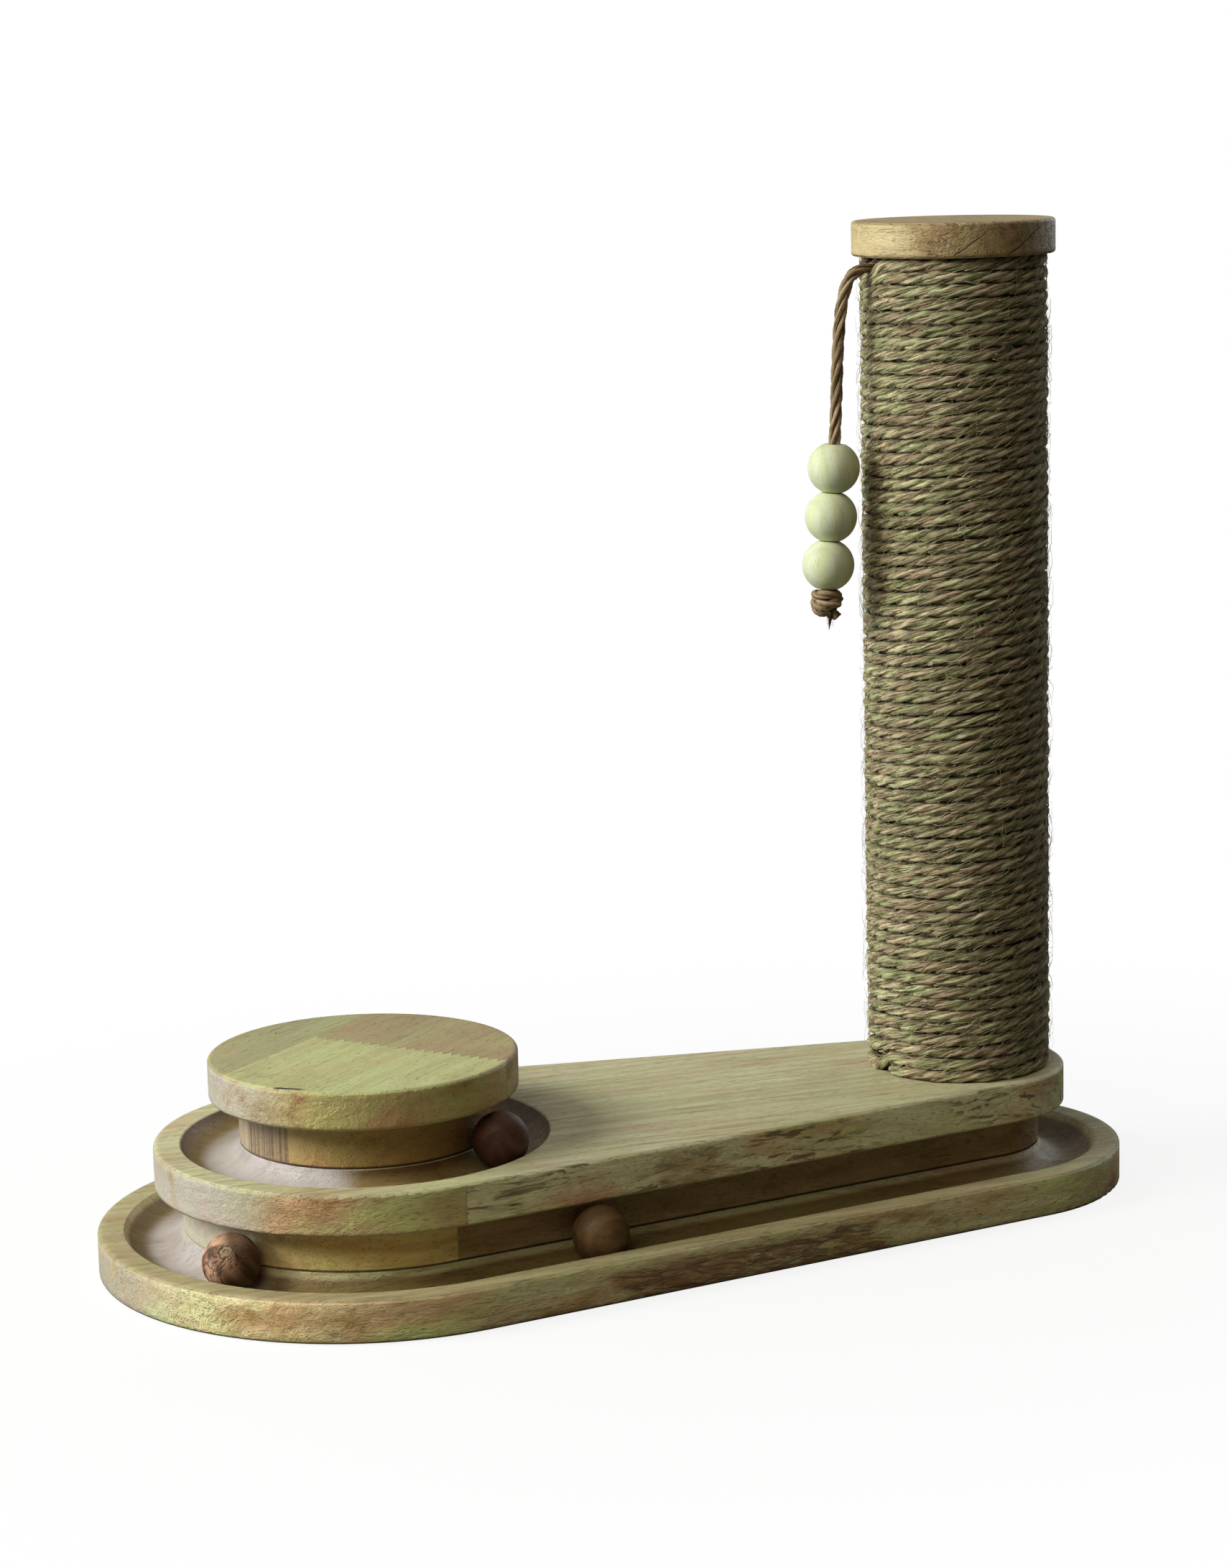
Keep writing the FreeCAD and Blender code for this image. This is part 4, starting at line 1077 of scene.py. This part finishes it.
def turned_material(node, turn_deg, woods, rings, blemish, fineness, relief, heartwood_and_painted_shade=None, chip=None):
    """Timber turned from one piece, with the grain at an angle of its own.

    It may have painted shade, darker towards +X, that begins and is full at two places along X,
    and a pale chip.
    """
    material, shader = new_material(node + "_timber")
    low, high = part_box(node)
    place, along = grain_space(tuple((low + high) / 2), turn_deg)
    grain = use_group(timber, {
        "Position": stretch(along, (fineness, fineness, fineness)),
        "Ring Spacing": 0.004, "Wave": 0.006, "Blemish": blemish})
    light, middle, dark = woods
    tint = mixed(grain["Figure"], light, middle)
    tint = mixed(times(grain["Rings"], rings), tint, dark)
    tint = mixed(times(grain["Pores"], 0.35), tint, dark)
    # Painted shade: darker towards the side away from the window.
    if heartwood_and_painted_shade:
        inner = between(split(place)[0], *heartwood_and_painted_shade)
        tint = mixed(times(inner, 0.75), tint, dark)
    tint = mixed(grain["Cracks"], tint, dark)
    height = grain["Height"]
    if chip:
        away = vector_calc("DISTANCE", place, chip, output="Value")
        away = shaken(away, noise(place, (330.0, 330.0, 330.0), 3.0), 0.005)
        tint = mixed(between(away, 0.0029, 0.0026), tint, dark)
        tint = mixed(between(away, 0.0025, 0.0019), tint, CHIP_PALE)
        height = scaled(between(away, 0.0030, 0.0024), -1.0, height)
    finish_wood(shader, tint, grain, height, TURNED_ROUGHNESS, relief, TURNED_SHINE)
    dress([node], material)


turned_material("ring_ball", (20, 35, 60), DARK_RED, 0.2, 0.1, 0.8, 0.0003)
turned_material("front_ball", (75, 10, 15), WALNUT, 0.3, 0.15, 0.8, 0.0003)
turned_material("left_ball", (15, 52, 25), RED_BROWN, 0.6, 0.9, 0.45, 0.0012,
                # Painted shade on the ball's right side, away from the window.
                heartwood_and_painted_shade=(-0.201, -0.189), chip=(-0.1956, -0.0614, 0.0306))
for number, bead in enumerate(BEADS):
    turn_deg = (10, 78 + 6 * number, 40 * number)
    turned_material(bead, turn_deg, BEAD_WOOD, 0.22, 0.1, 0.7, 0.00015)
print("balls and beads")

# %% [markdown]
# ## Jute
# Jute fibres are long, flat and never one colour: straw, grey-green and brown lie side by side.
# The group reads the `fibre` places that the strands carry, so that the streaks run along each
# strand however it bends, and `crown`, which lets painted shade gather between the strands.

# %% Group: jute
jute, given = new_group("jute", {"Coarseness": 1.0})
lie = add_node("ShaderNodeAttribute", attribute_name="fibre").outputs["Vector"]
stand_out = add_node("ShaderNodeAttribute", attribute_name="crown").outputs["Fac"]
lie = stretch(lie, given["Coarseness"])
streaks = noise(lie, (1900.0, 1900.0, 130.0), 3.0, 0.6)
bundles = noise(lie, (750.0, 750.0, 110.0), 2.0, 0.6)
streaks = times(calc("ADD", streaks, bundles), 0.5)
drift = noise(lie, (250.0, 250.0, 45.0))
hue = noise(lie, (420.0, 420.0, 70.0))
put_out({
    "Streaks": between(streaks, 0.44, 0.58),
    "Threads": between(streaks, 0.46, 0.40),
    "Drift": between(drift, 0.35, 0.65),
    "Tint": between(hue, 0.40, 0.60),
    # Painted shade in the hollows between strands, from the crown.
    "Painted Hollow Shade": between(stand_out, 0.85, 0.05),
    "Height": streaks})

# %% [markdown]
# Rope, loose fibres and cord share the group and differ in colours, coarseness and relief. Dark
# threads lie between the streaks, and the rope has the soft sheen of a hairy thing.

# %% Rope, hair and cord materials
SHEEN_BROWN = colour(0.80, 0.66, 0.42)
JUTE_SHINE = 0.25
SHEEN_ROUGHNESS = 0.35


def jute_material(name, pieces, dark, middle, light, casts, thread_dark_and_hollow_shade, coarseness, roughness,
                  relief, sheen):
    """Streaked jute: middle to light along fibres, darker drifts, two casts, painted shade in
    hollows.
    """
    material, shader = new_material(name)
    fibre = use_group(jute, {"Coarseness": coarseness})
    tint = mixed(fibre["Streaks"], middle, light)
    tint = mixed(times(fibre["Drift"], 0.6), tint, dark)
    tint = mixed(0.45, tint, mixed(fibre["Tint"], *casts))
    tint = mixed(times(fibre["Threads"], 0.75), tint, thread_dark_and_hollow_shade)
    # Painted shade in the hollows between strands.
    tint = mixed(times(fibre["Painted Hollow Shade"], 0.92), tint, thread_dark_and_hollow_shade)
    bump = add_node("ShaderNodeBump", {
        "Strength": 1.0, "Distance": relief, "Height": fibre["Height"]})
    set_inputs(shader, {
        "Base Color": tint, "Roughness": scaled(fibre["Streaks"], 0.1, roughness),
        "Normal": bump.outputs[0], "Specular IOR Level": JUTE_SHINE, "Sheen Weight": sheen,
        "Sheen Roughness": SHEEN_ROUGHNESS, "Sheen Tint": SHEEN_BROWN})
    for piece in pieces:
        piece.data.materials.append(material)


jute_material(
    "rope_jute", rope_strands,
    colour(0.055, 0.046, 0.024), colour(0.105, 0.09, 0.048), colour(1.0, 0.93, 0.62),
    (colour(0.50, 0.55, 0.22), colour(0.68, 0.44, 0.28)), colour(0.02, 0.016, 0.008),
    1.0, 0.75, 0.0020, 0.5)
jute_material(
    "hair_jute", hair_pieces,
    colour(0.08, 0.065, 0.035), colour(0.36, 0.30, 0.17), colour(0.90, 0.82, 0.55),
    (colour(0.38, 0.42, 0.16), colour(0.48, 0.31, 0.19)), colour(0.24, 0.19, 0.11),
    1.0, 0.7, 0.0002, 0.5)
jute_material(
    "cord_jute", (cord, knot),
    colour(0.17, 0.11, 0.063), colour(0.32, 0.22, 0.12), colour(0.70, 0.53, 0.33),
    (colour(0.26, 0.20, 0.09), colour(0.30, 0.17, 0.10)), colour(0.03, 0.018, 0.010),
    0.8, 0.6, 0.0006, 0.0)
print("rope, hair and cord materials")

# %% [markdown]
# ## Card and steel
# The tube inside the rope is brown card, which shows only in the slot under the cap. The screws,
# the bolt and the washer are zinc-plated steel under the base.

# %% Card and steel materials


def speckled_material(name, nodes, scale, detail, dark, light, rougher, roughness, metallic):
    """A plain stuff with fine specks that are lighter and rougher."""
    material, shader = new_material(name)
    specks = noise(object_place(), scale, detail)
    set_inputs(shader, {"Base Color": mixed(specks, dark, light), "Metallic": metallic,
                        "Roughness": scaled(specks, rougher, roughness)})
    dress(nodes, material)


speckled_material("tube_card", ["post_core"], (900.0, 900.0, 400.0), 4.0,
                  colour(0.14, 0.10, 0.06), colour(0.24, 0.18, 0.11), 0.15, 0.75, 0.0)
speckled_material("zinc_steel",
                  ["deck_screws", "disc_screws", "threaded_insert", "post_bolt", "post_washer"],
                  (400.0, 3000.0, 3000.0), 3.0,
                  colour(0.42, 0.43, 0.44), colour(0.66, 0.67, 0.68), 0.25, 0.25, 1.0)
print("card and steel")

# %% [markdown]
# ## Light
# One large soft window from the left does most of the work: the left ends are bright, the long
# front sides fall into shade, and the disc and the beads throw soft shadows to the right. A cool
# window behind it whitens the left edges, and a faint one at the back right opens the shadows.
# A weak warm fill from the front left and a dim warm world light the shade. A pale wall behind
# the object shows only in reflections, where it veils the oiled wood at shallow angles. Levels
# are set so that a colour comes out about as it is written where the window falls squarely.

# %% Lamps and world
AIM = Vector((0.0, 0.0, 0.16))
WORLD_DIM = 0.035
WALL_SHARE = 0.35


def soft_lamp(name, bearing_deg, height_deg, distance, width, level, tint):
    """A square lamp aimed at the object; level 1 shows a colour facing it as it is written."""
    data = bpy.data.lights.new(name, "AREA")
    data.size = width
    data.energy = level * math.pi ** 2 * distance ** 2
    data.color = tint
    lamp = bpy.data.objects.new(name, data)
    bearing, height = math.radians(bearing_deg), math.radians(height_deg)
    flat = math.cos(height)
    away = Vector((math.cos(bearing) * flat, math.sin(bearing) * flat, math.sin(height)))
    lamp.location = AIM + away * distance
    lamp.rotation_euler = away.to_track_quat("Z", "Y").to_euler()
    scene.collection.objects.link(lamp)


def seen_directly():
    """The light path's facts, and a mask of what is seen straight or through something clear."""
    rays = add_node("ShaderNodeLightPath").outputs
    return rays, calc("MAXIMUM", rays["Is Camera Ray"], rays["Is Transmission Ray"])


soft_lamp("window", 174.0, 31.0, 1.7, 0.8, 1.06, (0.97, 1.0, 0.93))
soft_lamp("back_window", 155.0, 3.0, 2.4, 1.2, 0.3, (0.80, 0.93, 1.15))
soft_lamp("right_fill", 28.0, 20.0, 2.4, 1.4, 0.23, (0.95, 1.0, 1.0))
soft_lamp("front_fill", 224.0, 46.0, 2.4, 1.4, 0.27, (1.0, 0.95, 0.80))

world = bpy.data.worlds.new("studio")
scene.world = world
world.use_nodes = True
take_up(world.node_tree).nodes.clear()
rays, direct = seen_directly()
toward = split(add_node("ShaderNodeTexCoord").outputs["Generated"])
wall = times(between(toward[1], 0.15, 0.6), rays["Is Glossy Ray"], WALL_SHARE)
dim = add_node("ShaderNodeBackground", {
    "Color": colour(1.0, 0.87, 0.68), "Strength": WORLD_DIM})
pale = add_node("ShaderNodeBackground", {"Color": WHITE, "Strength": 1.0})
both = add_node("ShaderNodeMixShader", {
    0: calc("MAXIMUM", direct, wall), 1: dim.outputs[0], 2: pale.outputs[0]})
add_node("ShaderNodeOutputWorld", {0: both.outputs[0]})
print("lamps and world")

# %% [markdown]
# ## Floor
# The floor is plain and pale. Seen straight from the camera it is nearly white, keeps a faint
# shadow round the object and fades to white farther off. For light that bounces it is a quiet
# grey, so that the underside of the boards does not glow.

# %% Floor
FLOOR_HALF = 6.0
FLOOR_DROP = -0.0004
FLOOR_GREY = colour(0.13, 0.12, 0.11)
FLOOR_PALE = colour(0.92, 0.92, 0.92)

floor_mesh = bpy.data.meshes.new("floor")
floor_mesh.from_pydata(
    [(-FLOOR_HALF, -FLOOR_HALF, 0.0), (FLOOR_HALF, -FLOOR_HALF, 0.0),
     (FLOOR_HALF, FLOOR_HALF, 0.0), (-FLOOR_HALF, FLOOR_HALF, 0.0)], [], [(0, 1, 2, 3)])
floor = bpy.data.objects.new("floor", floor_mesh)
floor.location.z = FLOOR_DROP
scene.collection.objects.link(floor)

paper, shader = new_material("pale_floor")
net.nodes.remove(shader)
rays, direct = seen_directly()
matt = add_node("ShaderNodeBsdfDiffuse", {"Color": mixed(direct, FLOOR_GREY, FLOOR_PALE)})
glow = add_node("ShaderNodeEmission", {"Color": WHITE, "Strength": 1.0})
spot = stretch(object_place(), (0.75, 1.0, 1.0))
far = vector_calc("LENGTH", spot, output="Value")
veil = scaled(between(far, 0.1, 0.5), 0.14, 0.86)
sheet = add_node("ShaderNodeMixShader", {
    0: times(direct, veil), 1: matt.outputs[0], 2: glow.outputs[0]})
set_inputs(net.nodes["Material Output"], {0: sheet.outputs[0]})
floor_mesh.materials.append(paper)
print("floor")
